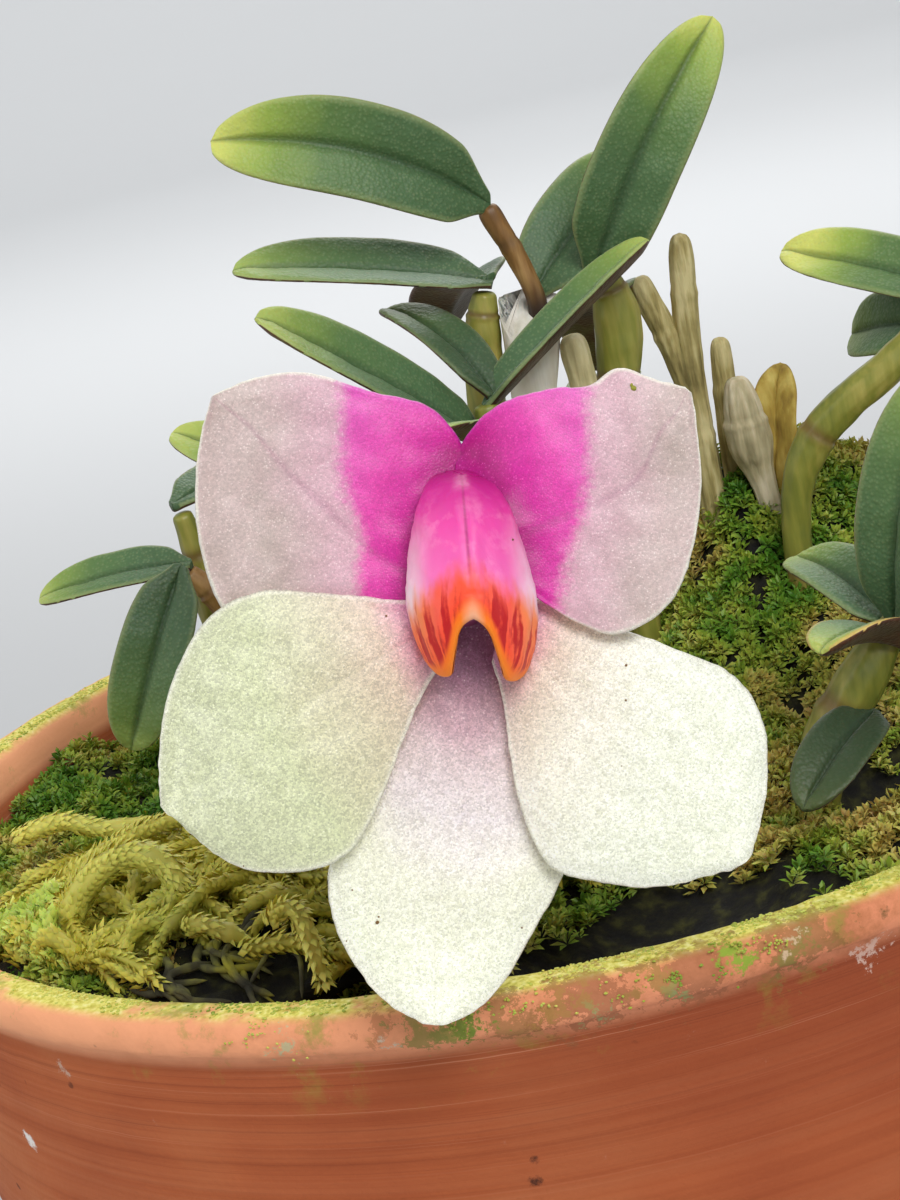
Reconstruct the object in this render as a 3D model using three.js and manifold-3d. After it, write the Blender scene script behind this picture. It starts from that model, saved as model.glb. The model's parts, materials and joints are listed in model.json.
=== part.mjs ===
// Potted dendrobium orchid: a miniature orchid with one upside-down bloom in a mossy clay pot.
// Millimetres, +Z up. The origin is the middle of the pot's flat base, and the bloom faces -Y.
import * as THREE from 'three';
import { mergeVertices } from 'three/addons/utils/BufferGeometryUtils.js';
import Module from 'manifold-3d';

const wasm = await Module();
wasm.setup();

// Driving dimensions
const POT_HEIGHT = 72;
const RIM_RADIUS = 50;
const RIM_WALL = 3.2;
const BASE_RADIUS = 37;
const FLOOR = 5;
const LIP_BAND = 2.4;
const DRAIN_RADIUS = 4;
const DRAIN_CIRCLE = 17;
const GAP = 0.3;
const MIX_TOP = 63.5;
const ROOT_LEVEL = 66;
const PETAL_THICKNESS = 0.6;
const LEAF_THICKNESS = 0.7;
const BLOOM_CENTRE = [-4, -46.9, 93.5];
const BLOOM_TURN_UP = 15.5;
const BLOOM_LEAN = -13.3;

const plant = new THREE.Group();
const bloom = new THREE.Group();
bloom.position.set(...BLOOM_CENTRE);
bloom.rotation.set(THREE.MathUtils.degToRad(90 - BLOOM_TURN_UP), 0, THREE.MathUtils.degToRad(BLOOM_LEAN));
plant.add(bloom);

const FIRED_CLAY = { color: 0xa85a38, roughness: 0.85 };
const MIX = { color: 0x3a2a1c, roughness: 1 };
const MOSS = { color: 0x5b8a2e, roughness: 1 };
const OLIVE_MOSS = { color: 0xa8a03c, roughness: 1 };
const LEAF = { color: 0x4e7a45, roughness: 0.6 };
const CANE = { color: 0x8a5a2a, roughness: 0.7 };
const GREEN_CANE = { color: 0x9aa050, roughness: 0.6 };
const DRY = { color: 0x9a9060, roughness: 0.9 };
const SHEATH = { color: 0xc8c0b0, roughness: 0.9 };
const SEPAL = { color: 0xd9c8c8, roughness: 0.5 };
const PETAL = { color: 0xe4e8c8, roughness: 0.5 };
const LIP = { color: 0xd93c9a, roughness: 0.4 };
const COLUMN = { color: 0x8a3560, roughness: 0.5 };

const vector = (x, y, z) => new THREE.Vector3(x, y, z);
const smooth = (x) => THREE.MathUtils.smoothstep(x, 0, 1);

function addPiece(group, name, geometry, finish) {
  const mesh = new THREE.Mesh(geometry, new THREE.MeshStandardMaterial({ metalness: 0, ...finish }));
  mesh.name = name;
  group.add(mesh);
  return mesh;
}

// Joining and cutting work on closed solids with shared corners.
function toSolid(geometry) {
  const bare = geometry.clone();
  bare.deleteAttribute('normal');
  bare.deleteAttribute('uv');
  const welded = mergeVertices(bare, 1e-4);
  return new wasm.Manifold(new wasm.Mesh({
    numProp: 3,
    vertProperties: new Float32Array(welded.attributes.position.array),
    triVerts: new Uint32Array(welded.index.array),
  }));
}

function toGeometry(solid) {
  const mesh = solid.getMesh();
  const geometry = new THREE.BufferGeometry();
  geometry.setAttribute('position', new THREE.BufferAttribute(mesh.vertProperties, 3));
  geometry.setIndex(new THREE.BufferAttribute(mesh.triVerts, 1));
  return geometry;
}

// The biggest body of a solid, without the crumbs that a cut leaves.
function mainBody(solid) {
  return solid.decompose().sort((a, b) => b.volume() - a.volume())[0];
}

// A thin closed blade round a surface(u, v): u runs 0 to 1 along it, v runs -1 to 1 across it.
function blade(surface, along, across, thickness) {
  const step = 1e-3;
  const corners = [[], []];
  const at = (u, v) => surface(THREE.MathUtils.clamp(u, 0, 1), THREE.MathUtils.clamp(v, -1, 1));
  for (let i = 0; i <= along; i += 1) {
    for (let j = 0; j <= across; j += 1) {
      const u = i / along;
      const v = -1 + (2 * j) / across;
      const point = at(u, v);
      const alongStep = at(u + step, v).sub(at(u - step, v));
      const acrossStep = at(u, v + step).sub(at(u, v - step));
      const normal = alongStep.cross(acrossStep).normalize().multiplyScalar(thickness / 2);
      corners[0].push(point.clone().add(normal));
      corners[1].push(point.clone().sub(normal));
    }
  }
  const wide = across + 1;
  const back = corners[0].length;
  const faces = [];
  for (let i = 0; i < along; i += 1) {
    for (let j = 0; j < across; j += 1) {
      const a = i * wide + j;
      const b = a + wide;
      faces.push(a, b, b + 1, a, b + 1, a + 1);
      faces.push(back + a, back + b + 1, back + b, back + a, back + a + 1, back + b + 1);
    }
  }
  const wall = (p, q) => faces.push(q, p, back + p, q, back + p, back + q);
  for (let i = 0; i < along; i += 1) {
    wall(i * wide, (i + 1) * wide);
    wall((i + 1) * wide + across, i * wide + across);
  }
  for (let j = 0; j < across; j += 1) {
    wall(j + 1, j);
    wall(along * wide + j, along * wide + j + 1);
  }
  const geometry = new THREE.BufferGeometry();
  geometry.setFromPoints([...corners[0], ...corners[1]]);
  geometry.setIndex(faces);
  return geometry;
}

// A round stalk along a smooth route, with a radius for each of its points.
function stalk(route, radii, sides = 7, steps = 7, ribs = 0) {
  const path = new THREE.CatmullRomCurve3(route.map((point) => vector(...point)));
  const frames = path.computeFrenetFrames(steps, false);
  const points = [];
  for (let i = 0; i <= steps; i += 1) {
    const place = (i / steps) * (radii.length - 1);
    const low = Math.min(Math.floor(place), radii.length - 2);
    const radius = THREE.MathUtils.lerp(radii[low], radii[low + 1], place - low);
    for (let j = 0; j < sides; j += 1) {
      const angle = (j / sides) * 2 * Math.PI;
      const reach = radius * (1 + ribs * (j % 2 ? -1 : 1));
      points.push(path.getPoint(i / steps)
        .addScaledVector(frames.normals[i], reach * Math.cos(angle))
        .addScaledVector(frames.binormals[i], reach * Math.sin(angle)));
    }
  }
  const faces = [];
  for (let i = 0; i < steps; i += 1) {
    for (let j = 0; j < sides; j += 1) {
      const a = i * sides + j;
      const b = i * sides + ((j + 1) % sides);
      faces.push(a, b, b + sides, a, b + sides, a + sides);
    }
  }
  const foot = points.length;
  points.push(path.getPoint(0), path.getPoint(1));
  for (let j = 0; j < sides; j += 1) {
    const next = (j + 1) % sides;
    faces.push(foot, next, j);
    faces.push(foot + 1, steps * sides + j, steps * sides + next);
  }
  const geometry = new THREE.BufferGeometry();
  geometry.setFromPoints(points);
  geometry.setIndex(faces);
  return geometry;
}

// Pot: thrown clay with a flat rim, a rounded lip band, a groove under it and three drain holes
const outerAt = (z) => THREE.MathUtils.lerp(BASE_RADIUS, RIM_RADIUS - 0.9, z / POT_HEIGHT);
const innerAt = (z) => THREE.MathUtils.lerp(BASE_RADIUS - 3.8, RIM_RADIUS - RIM_WALL, z / POT_HEIGHT);
const lipBottom = POT_HEIGHT - LIP_BAND;

function potGeometry() {
  const profile = [
    [0, 0], [BASE_RADIUS - 1.2, 0], [BASE_RADIUS, 1.2],
    [outerAt(24), 24], [outerAt(46), 46], [outerAt(lipBottom - 1.4), lipBottom - 1.4],
    [RIM_RADIUS - 1, lipBottom - 0.7], [RIM_RADIUS - 0.15, lipBottom], [RIM_RADIUS, POT_HEIGHT - 1.4],
    [RIM_RADIUS - 0.3, POT_HEIGHT - 0.5], [RIM_RADIUS - 1, POT_HEIGHT],
    [RIM_RADIUS - RIM_WALL + 0.4, POT_HEIGHT], [innerAt(POT_HEIGHT - 0.6), POT_HEIGHT - 0.6],
    [innerAt(36), 36], [innerAt(FLOOR + 2), FLOOR + 2], [innerAt(FLOOR) - 2, FLOOR], [0, FLOOR],
  ].map(([r, z]) => new THREE.Vector2(r, z));
  let pot = toSolid(new THREE.LatheGeometry(profile, 52).rotateX(Math.PI / 2));
  for (let i = 0; i < 3; i += 1) {
    const angle = Math.PI / 2 + (i * 2 * Math.PI) / 3;
    const drill = new THREE.CylinderGeometry(DRAIN_RADIUS, DRAIN_RADIUS, FLOOR * 4, 20).rotateX(Math.PI / 2);
    drill.translate(DRAIN_CIRCLE * Math.cos(angle), DRAIN_CIRCLE * Math.sin(angle), 0);
    pot = pot.subtract(toSolid(drill));
  }
  return toGeometry(pot);
}
addPiece(plant, 'pot', potGeometry(), FIRED_CLAY);

// Potting mix: one plug that fills the pot up to the moss
const mixProfile = [
  [0, FLOOR + GAP], [innerAt(FLOOR) - 2.4, FLOOR + GAP], [innerAt(FLOOR + 2) - GAP - 0.2, FLOOR + 2.2],
  [innerAt(36) - GAP, 36], [innerAt(MIX_TOP) - GAP, MIX_TOP], [0, MIX_TOP],
].map(([r, z]) => new THREE.Vector2(r, z));
addPiece(plant, 'potting_mix', new THREE.LatheGeometry(mixProfile, 28).rotateX(Math.PI / 2), MIX);

// Moss carpet: low at the rear left, a mound above the rim at the rear right, with small cushions
const MOUNDS = [
  { x: 25, y: 20, reach: 25, rise: 9.5 },
  { x: 12, y: 38, reach: 16, rise: 4.5 },
  { x: 36, y: -2, reach: 15, rise: 4.5 },
  { x: -28, y: -25, reach: 18, rise: 2.4 },
  { x: 14, y: -34, reach: 10, rise: 1.6 },
  { x: 2, y: -37, reach: 9, rise: -1.6 },
  { x: -34, y: 16, reach: 14, rise: -0.6 },
];
const CUSHIONS = 56;
const CARPET_LEVEL = 67.4;
const TUFTS = 190;

// Repeatable draws, so the plant is the same each time.
function seeded(seed) {
  let state = seed;
  return () => {
    state = (state * 1664525 + 1013904223) % 4294967296;
    return state / 4294967296;
  };
}

function scatter(seed, count) {
  const draw = seeded(seed);
  return Array.from({ length: count }, () => {
    const radius = 44 * Math.sqrt(draw());
    const angle = 2 * Math.PI * draw();
    return { x: radius * Math.cos(angle), y: radius * Math.sin(angle), size: draw(), turn: draw() };
  });
}

const cushions = scatter(11, CUSHIONS).map((spot) => ({
  x: spot.x, y: spot.y, reach: 5 + 3.5 * spot.size, rise: 0.8 + 1.4 * spot.turn,
}));

function mossHeight(x, y) {
  let height = CARPET_LEVEL;
  for (const { x: cx, y: cy, reach, rise } of [...MOUNDS, ...cushions]) {
    height += rise * smooth(1 - Math.hypot(x - cx, y - cy) / reach);
  }
  return height;
}

function carpetGeometry() {
  const rings = 12;
  const edge = innerAt(MIX_TOP + GAP) - GAP;
  const profile = [new THREE.Vector2(0, MIX_TOP + GAP), new THREE.Vector2(edge, MIX_TOP + GAP)];
  for (let i = rings; i >= 0; i -= 1) {
    profile.push(new THREE.Vector2((i / rings) * (innerAt(CARPET_LEVEL) - GAP), CARPET_LEVEL));
  }
  const geometry = new THREE.LatheGeometry(profile, 48).rotateX(Math.PI / 2);
  const place = geometry.attributes.position;
  for (let i = 0; i < place.count; i += 1) {
    const x = place.getX(i);
    const y = place.getY(i);
    if (place.getZ(i) > CARPET_LEVEL - 1) place.setZ(i, mossHeight(x, y));
  }
  return geometry;
}

function tuft({ x, y, size, turn }) {
  const height = 1.6 + 1.8 * size;
  const cone = new THREE.ConeGeometry(0.8 + 0.5 * turn, height + 1.5, 4).rotateX(Math.PI / 2);
  cone.rotateX(0.5 * (turn - 0.5)).rotateY(0.5 * (size - 0.5));
  return cone.translate(x, y, mossHeight(x, y) + height / 2 - 0.75);
}

const TUFT_AREA = { x: 20, y: 12, reach: 32 };

// Growths: each is a cane or bulb with its own leaves. A leaf has the end of its base, its tip,
// its width and the way its upper face looks. Its arch and sideways sweep are shares of its
// length, its fold is in degrees, and widest is the place of its greatest width.
const LEAF_ARCH = 0.1;
const LEAF_FOLD = 20;
const LEAF_WIDEST = 0.5;

function leafOutline(u, widest) {
  const reach = u < widest ? widest + 0.035 : 1.03 - widest;
  return (1 - Math.abs((u - widest) / reach) ** 2.4) ** 0.55;
}

function leafSurface(leaf) {
  const { base, tip, width, face } = leaf;
  const { arch = LEAF_ARCH, fold = LEAF_FOLD, widest = LEAF_WIDEST, sweep = 0 } = leaf;
  const start = vector(...base);
  const axis = vector(...tip).sub(start);
  const length = axis.length();
  const direction = axis.clone().normalize();
  const normal = vector(...face).addScaledVector(direction, -vector(...face).dot(direction)).normalize();
  const side = normal.clone().cross(direction);
  const lift = Math.sin(THREE.MathUtils.degToRad(fold));
  const spread = Math.cos(THREE.MathUtils.degToRad(fold));
  return (u, v) => {
    const half = (width / 2) * leafOutline(u, widest);
    return start.clone()
      .addScaledVector(axis, u)
      .addScaledVector(normal, arch * length * 4 * u * (1 - u) + half * Math.abs(v) * lift)
      .addScaledVector(side, half * v * spread + sweep * length * 4 * u * (1 - u));
  };
}

const GROWTHS = [
  {
    name: 'tall_cane', finish: CANE,
    route: [[3.6, 6.5, ROOT_LEVEL], [4, 7, 80], [5, 8, 93], [6.6, 8, 99.5], [4.4, 8, 107.2]],
    radii: [0.9, 1, 0.95, 0.95, 0.95],
    leaves: [
      { name: 'tall_leaf', base: [3.1, 7.9, 108], tip: [-13.9, 6, 116.4], width: 7.4, face: [0.1, -1, 0.1], sweep: -0.075 },
      { name: 'inner_leaf', base: [7.6, 10, 100.4], tip: [17.8, 17.5, 106.8], width: 7.4, face: [-0.3, -1, 0.5] },
    ],
  },
  {
    name: 'rear_left_bulb', finish: GREEN_CANE,
    route: [[-0.5, 9.5, ROOT_LEVEL], [0.4, 9.3, 84], [1.8, 8.8, 96], [3, 8.4, 101]],
    radii: [1, 1.3, 1.5, 0.9],
    leaves: [
      { name: 'shaded_leaf', base: [2, 8.4, 101.9], tip: [-14.8, 8, 106.7], width: 6.6, face: [-0.1, -0.45, 1], arch: 0.03 },
      { name: 'rear_left_leaf', base: [3, 9.8, 101.2], tip: [-0.5, 23, 96], width: 7, face: [0, 0, 1] },
    ],
  },
  {
    name: 'rear_right_bulb', finish: GREEN_CANE,
    route: [[9.4, 9, ROOT_LEVEL], [10.3, 9, 86], [12.2, 8.8, 96], [11.8, 8.3, 100.6]],
    radii: [1, 1.4, 1.8, 1],
    leaves: [
      { name: 'upright_leaf', base: [12.1, 8.2, 101.7], tip: [23.4, 8, 116.7], width: 7, face: [0.1, -1, 0.1], widest: 0.4, sweep: 0.05 },
      { name: 'back_leaf', base: [12.4, 10.6, 97.5], tip: [11.5, 25, 90], width: 6.6, face: [0, -0.1, 1] },
    ],
  },
  {
    name: 'centre_cane', finish: GREEN_CANE,
    route: [[1.2, 1.5, ROOT_LEVEL], [1.4, 1.6, 80], [1.2, 1.8, 89], [1, 2, 94]],
    radii: [0.9, 1.1, 1.2, 0.9],
    leaves: [
      { name: 'narrow_leaf', base: [2.4, 2.2, 94.5], tip: [15.2, 3.8, 102.6], width: 5.4, face: [-0.7, -0.5, 1], arch: 0.01, fold: 38 },
      { name: 'left_leaf', base: [-0.7, 1.9, 92], tip: [-13.4, -4, 104.7], width: 6.4, face: [0.4, -0.55, 0.9], arch: 0.02 },
      { name: 'dark_leaf', base: [0.8, 3.2, 95.2], tip: [-4.6, 10.5, 101], width: 6, face: [0, -0.6, 1] },
      { name: 'low_leaf', base: [1.4, 0, 88.6], tip: [-4.4, -12, 95.6], width: 6.4, face: [0, -0.3, 1] },
    ],
  },
  {
    name: 'flowering_cane', finish: GREEN_CANE,
    route: [[-2.5, -17, ROOT_LEVEL], [-2.3, -18, 78], [-2.4, -20, 86], [-2.6, -21.8, 90.4]],
    radii: [0.9, 1.1, 1.1, 0.8],
    leaves: [
      { name: 'far_left_leaf', base: [-3.9, -21.2, 90.4], tip: [-20.2, -12, 99.6], width: 5.8, face: [0.3, -0.8, 1], arch: 0.02 },
      { name: 'hidden_left_leaf', base: [-3.6, -21.4, 88], tip: [-17, -25, 82.5], width: 6.6, face: [-0.4, -0.4, 1] },
      { name: 'hidden_right_leaf', base: [-1.1, -20.4, 88], tip: [11, -17, 85], width: 6.6, face: [0.3, -0.4, 1] },
    ],
  },
  {
    name: 'left_cane', finish: CANE,
    route: [[-19.4, 7, ROOT_LEVEL], [-20, 7, 76], [-21.6, 6.6, 82.8], [-23.5, 6.3, 85.8]],
    radii: [0.8, 0.9, 1, 0.8],
    leaves: [
      { name: 'left_tip_leaf', base: [-24.7, 6.8, 86.2], tip: [-35.2, 9, 85.7], width: 4.6, face: [0, -0.5, 1], arch: 0.05 },
      { name: 'hanging_leaf', base: [-24.5, 5.1, 85.2], tip: [-30.7, 3.6, 74.1], width: 5.8, face: [-0.25, -1, 0], arch: 0.08 },
    ],
  },
  {
    name: 'left_bulb', finish: GREEN_CANE,
    route: [[-21.6, 12, ROOT_LEVEL], [-22.4, 11.5, 80], [-23.2, 10.6, 89.5]],
    radii: [0.9, 1.5, 0.8],
    leaves: [
      { name: 'left_back_leaf', base: [-22.4, 11.6, 90], tip: [-12, 21, 89.5], width: 6, face: [0, -0.3, 1], arch: 0.04 },
    ],
  },
  {
    name: 'right_cane', finish: GREEN_CANE,
    route: [[21.4, 4.4, ROOT_LEVEL], [21.8, 4.2, 79], [24.4, 3.7, 85.4], [30.6, 2.6, 89.8], [35.4, 2.2, 92.8]],
    radii: [0.9, 1.1, 1.4, 1.3, 0.9],
    leaves: [
      { name: 'right_top_leaf', base: [36, 3.4, 94], tip: [25.6, 10.5, 98.4], width: 6, face: [-0.2, -0.7, 1], arch: 0.03 },
      { name: 'right_low_leaf', base: [34.9, 4.2, 91.4], tip: [30.4, 13.5, 90.2], width: 5.6, face: [-0.5, -0.8, 0.6] },
      { name: 'outer_leaf', base: [36.2, 1.7, 93.3], tip: [46, -8, 97], width: 7, face: [-0.3, 0.3, 1] },
    ],
  },
  {
    name: 'front_right_bulb', finish: GREEN_CANE,
    route: [[15.6, -22.6, ROOT_LEVEL], [16.6, -23.4, 71.5], [19.5, -24, 75.8], [22.6, -24, 79.4]],
    radii: [0.9, 1.7, 1.6, 0.9],
    leaves: [
      { name: 'edge_leaf', base: [23.1, -24.9, 80.5], tip: [25.6, -28.5, 96], width: 7.4, face: [-0.75, -0.7, 0] },
      { name: 'level_leaf', base: [21.8, -26, 78.2], tip: [16.6, -29.5, 80.2], width: 6.4, face: [0.2, 0.3, 1], arch: 0.12 },
      { name: 'inner_right_leaf', base: [21.8, -22.3, 79.4], tip: [18.4, -14.5, 82], width: 5.4, face: [0, -0.3, 1] },
      { name: 'low_right_leaf', base: [18.8, -26.1, 73.4], tip: [13.4, -31.5, 71.2], width: 4.6, face: [0.1, -0.5, 1] },
      { name: 'far_right_leaf', base: [23.9, -23.6, 79.8], tip: [37, -19, 86], width: 7, face: [-0.3, -0.2, 1] },
    ],
  },
  {
    name: 'back_left_cane', finish: GREEN_CANE,
    route: [[-10, 26, ROOT_LEVEL], [-10.2, 26, 76], [-11, 25.4, 85]],
    radii: [0.9, 1.2, 0.9],
    leaves: [
      { name: 'back_left_leaf_a', base: [-12.3, 26.1, 83.6], tip: [-19, 35, 91], width: 6.4, face: [0, 0.1, 1] },
      { name: 'back_left_leaf_b', base: [-10, 26.3, 86], tip: [-2, 33.5, 90], width: 6.4, face: [-0.2, -0.3, 1] },
    ],
  },
  {
    name: 'back_right_cane', finish: GREEN_CANE,
    route: [[11, 33, ROOT_LEVEL], [10.8, 33, 76], [10.4, 32.6, 83]],
    radii: [0.9, 1.2, 0.9],
    leaves: [
      { name: 'back_right_leaf_a', base: [10.7, 33.8, 83.9], tip: [15, 45, 84.5], width: 6.4, face: [0, -0.3, 1] },
      { name: 'back_right_leaf_b', base: [9.5, 31.6, 83.8], tip: [1, 24, 88], width: 6, face: [-0.2, -0.2, 1] },
    ],
  },
];

for (const { name, finish, route, radii, leaves } of GROWTHS) {
  addPiece(plant, name, stalk(route, radii), finish);
  for (const leaf of leaves) {
    addPiece(plant, leaf.name, blade(leafSurface(leaf), 7, 4, LEAF_THICKNESS), LEAF);
  }
}

// Old growth: a papery sheath round the tall cane, dry forked stems, a shrunken bulb and a dry leaf
function sleeve(route, radii, openAngle) {
  const path = new THREE.CatmullRomCurve3(route.map((point) => vector(...point)));
  const out = vector(0, -1, 0);
  return (u, v) => {
    const tangent = path.getTangent(u);
    const first = out.clone().addScaledVector(tangent, -out.dot(tangent)).normalize();
    const second = tangent.clone().cross(first);
    const angle = (v * (360 - openAngle) * Math.PI) / 360 + Math.PI / 2;
    const radius = THREE.MathUtils.lerp(radii[0], radii[1], u);
    return path.getPoint(u)
      .addScaledVector(first, radius * Math.cos(angle))
      .addScaledVector(second, -radius * Math.sin(angle));
  };
}
const tallSheath = sleeve([[4.6, 7.8, 90], [5, 8, 93], [6.3, 8.1, 98.6]], [1.9, 1.6], 80);
addPiece(plant, 'papery_sheath', blade(tallSheath, 4, 10, PETAL_THICKNESS), SHEATH);

const drySpine = [[16.6, 12, ROOT_LEVEL], [17, 12, 80], [17.3, 12, 90.8], [18.5, 12, 101]];
const dryBranch = [[17.1, 12, 88.5], [16, 12, 94], [14.6, 12, 98.6]];
const dryStems = toSolid(stalk(drySpine, [0.9, 1, 1, 0.7], 6, 6)).add(toSolid(stalk(dryBranch, [0.8, 0.9, 0.6], 6, 4)));
addPiece(plant, 'dry_forked_stems', toGeometry(dryStems), DRY);
const OLD_STEMS = [
  { name: 'dry_stub', finish: DRY, route: [[19.8, 13, ROOT_LEVEL], [19.4, 13, 82], [20, 12.6, 92.8]], radii: [0.9, 1, 0.8] },
  { name: 'old_bulb', finish: SHEATH, route: [[22.4, 9.4, ROOT_LEVEL], [21, 9.8, 80], [21.2, 10, 89.4]], radii: [0.9, 1.6, 0.9] },
];
for (const { name, finish, route, radii } of OLD_STEMS) addPiece(plant, name, stalk(route, radii), finish);
const dryLeaf = { base: [23.3, 11.1, 81.4], tip: [25.6, 12.4, 89.6], width: 3.6, face: [-0.3, -1, 0.2] };
addPiece(plant, 'dry_leaf', blade(leafSurface(dryLeaf), 6, 4, LEAF_THICKNESS), DRY);

// Stems stand in plain holes in the moss
const planted = [...GROWTHS, ...OLD_STEMS, { route: drySpine, radii: [0.9, 1, 1, 0.7] }];
let carpet = toSolid(carpetGeometry());
for (const spot of scatter(5, TUFTS)) {
  const { x, y, reach } = TUFT_AREA;
  const onStem = planted.some(({ route: [[px, py]] }) => Math.hypot(spot.x - px, spot.y - py) < 4.2);
  if (Math.hypot(spot.x - x, spot.y - y) < reach && !onStem) carpet = carpet.add(toSolid(tuft(spot)));
}
for (const { route, radii } of planted) {
  const hole = stalk(route, radii.map((radius) => radius + 1.2 * GAP));
  carpet = carpet.subtract(toSolid(hole)).subtract(toSolid(hole.clone().translate(0, 0, -GAP)));
}
const carpetBody = mainBody(carpet);
addPiece(plant, 'moss_carpet', toGeometry(carpetBody), MOSS);

// Creeping moss: thick olive strands that curl over a low pad at the front left
const STRANDS = 17;
const CREEP_RADIUS = 45.4;
function strandSolid(draw) {
  const x = -29 + 26 * (draw() - 0.5);
  const y = -24 + 24 * (draw() - 0.5);
  const turn = 2 * Math.PI * draw();
  const reach = 7 + 5 * draw();
  const route = [0, 0.33, 0.67, 1].map((t, i) => {
    const bend = turn + 1.6 * (t - 0.5);
    const px = x + reach * (t - 0.5) * Math.cos(bend);
    const py = y + reach * (t - 0.5) * Math.sin(bend);
    return [px, py, mossHeight(px, py) + [0.2, 2.2, 2.6, 0.4][i] + 0.8 * draw()];
  });
  return toSolid(stalk(route, [0.9, 1, 0.95, 0.6], 5, 7));
}
const padShape = new THREE.SphereGeometry(1, 14, 6).rotateX(Math.PI / 2).scale(15, 13, 3.4);
let creeping = toSolid(padShape.translate(-27, -24, 69.6));
const drawStrand = seeded(21);
for (let i = 0; i < STRANDS; i += 1) creeping = creeping.add(strandSolid(drawStrand));
creeping = creeping.subtract(carpetBody.translate([0, 0, 1.2 * GAP]));
const insideRim = new THREE.CylinderGeometry(CREEP_RADIUS, CREEP_RADIUS, 40, 48).rotateX(Math.PI / 2);
creeping = creeping.intersect(toSolid(insideRim.translate(0, 0, 80)));
addPiece(plant, 'creeping_moss', toGeometry(mainBody(creeping)), OLIVE_MOSS);

// Bloom, seen from the front: x to the right, y up, z towards the viewer.
// Each sepal and petal lies between two margins, given from its base to its tip.
function segmentSurface(firstMargin, secondMargin, depth) {
  const first = new THREE.SplineCurve(firstMargin.map(([x, y]) => new THREE.Vector2(x, y)));
  const second = new THREE.SplineCurve(secondMargin.map(([x, y]) => new THREE.Vector2(x, y)));
  return (u, v) => {
    const place = first.getPoint(u).lerp(second.getPoint(u), (v + 1) / 2);
    return vector(place.x, place.y, depth(u, v, place));
  };
}

// The sepals sink towards the notch where the two lateral ones meet.
const NOTCH = new THREE.Vector2(-0.2, 8.4);
const sink = (place, amount) => amount * Math.exp(-((place.distanceTo(NOTCH) / 2.4) ** 2));
const petalDepth = (u, v) => 0.25 + 2.6 * u * u - 0.5 * v * v;

const SEGMENTS = [
  {
    name: 'dorsal_sepal', finish: SEPAL,
    first: [[1.7, -2.7], [2.6, -5.3], [4.2, -8.7], [5.3, -12.2], [4.9, -14.8], [3.7, -17.3], [2.2, -20], [-0.5, -22.2]],
    second: [[-1.7, -2.7], [-2.5, -5.3], [-3.7, -8.5], [-5.8, -12.4], [-7.3, -14.2], [-6.9, -17.2], [-5.7, -20.4], [-2.6, -22.2]],
    depth: (u, v) => -1.25 + 2.4 * u ** 2.2 - 0.3 * v * v,
  },
  {
    name: 'lateral_sepal_left', finish: SEPAL,
    first: [[-3.2, -2.1], [-6.6, -2.9], [-10.3, -2.4], [-12.9, -0.6], [-14.1, 2.9], [-14.3, 6.9], [-13.9, 9], [-13.3, 10.8]],
    second: [[-0.9, 3.2], [-0.75, 5.8], [-0.55, 8.3], [-3.4, 11], [-7.1, 11.9], [-9.5, 12.3], [-11.6, 11.8], [-13.1, 11]],
    depth: (u, v, place) => -1.15 - 0.25 * v + 1.6 * u * u - sink(place, 1),
  },
  {
    name: 'lateral_sepal_right', finish: SEPAL,
    first: [[0.35, 4.2], [0.1, 6.3], [0, 8.4], [1.9, 10.7], [4.5, 11.3], [6.6, 11.7], [8.1, 12.2], [10, 11.8], [11.3, 11.1]],
    second: [[2.4, 1.3], [4.2, -0.1], [6.1, -1.2], [8, -1.7], [10.3, -0.5], [11.6, 2.1], [12.3, 5.3], [12.1, 8.2], [11.5, 10.8]],
    depth: (u, v, place) => 0.85 + 0.35 * v + 0.6 * u * u - sink(place, 1.8),
  },
  {
    name: 'petal_left', finish: PETAL,
    first: [[-1.3, -2.6], [-2.5, -4.8], [-3.4, -7.4], [-4.4, -10.3], [-6.1, -13.2], [-8.9, -14.2], [-12.2, -13.7], [-15.1, -11.3]],
    second: [[-2.1, 0], [-4.5, 0.2], [-7.7, 0.5], [-11.1, 0.5], [-13.8, -1.1], [-15.5, -4.5], [-16, -7.9], [-15.9, -10.6]],
    depth: petalDepth,
  },
  {
    name: 'petal_right', finish: PETAL,
    first: [[1.9, -1.3], [4.2, -0.6], [7.7, -1.8], [11.4, -2.6], [14.3, -4], [15.7, -6.6], [15.7, -10.1], [14.9, -13.1]],
    second: [[1.7, -3.2], [2, -5.3], [2.3, -7.7], [2.9, -10.8], [4.4, -13.9], [7.1, -14.7], [10.1, -14.9], [13.8, -13.9]],
    depth: petalDepth,
  },
];
for (const { name, finish, first, second, depth } of SEGMENTS) {
  addPiece(bloom, name, blade(segmentSurface(first, second, depth), 10, 6, PETAL_THICKNESS), finish);
}

// Lip: a hood over the column, open below, with two side lobes past an arched mouth
const LIP_TOP = 6.8;
const LIP_LENGTH = 10.9;
const LIP_HALF_WIDTH = 3.2;
const LIP_WRAP = 98;

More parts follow.
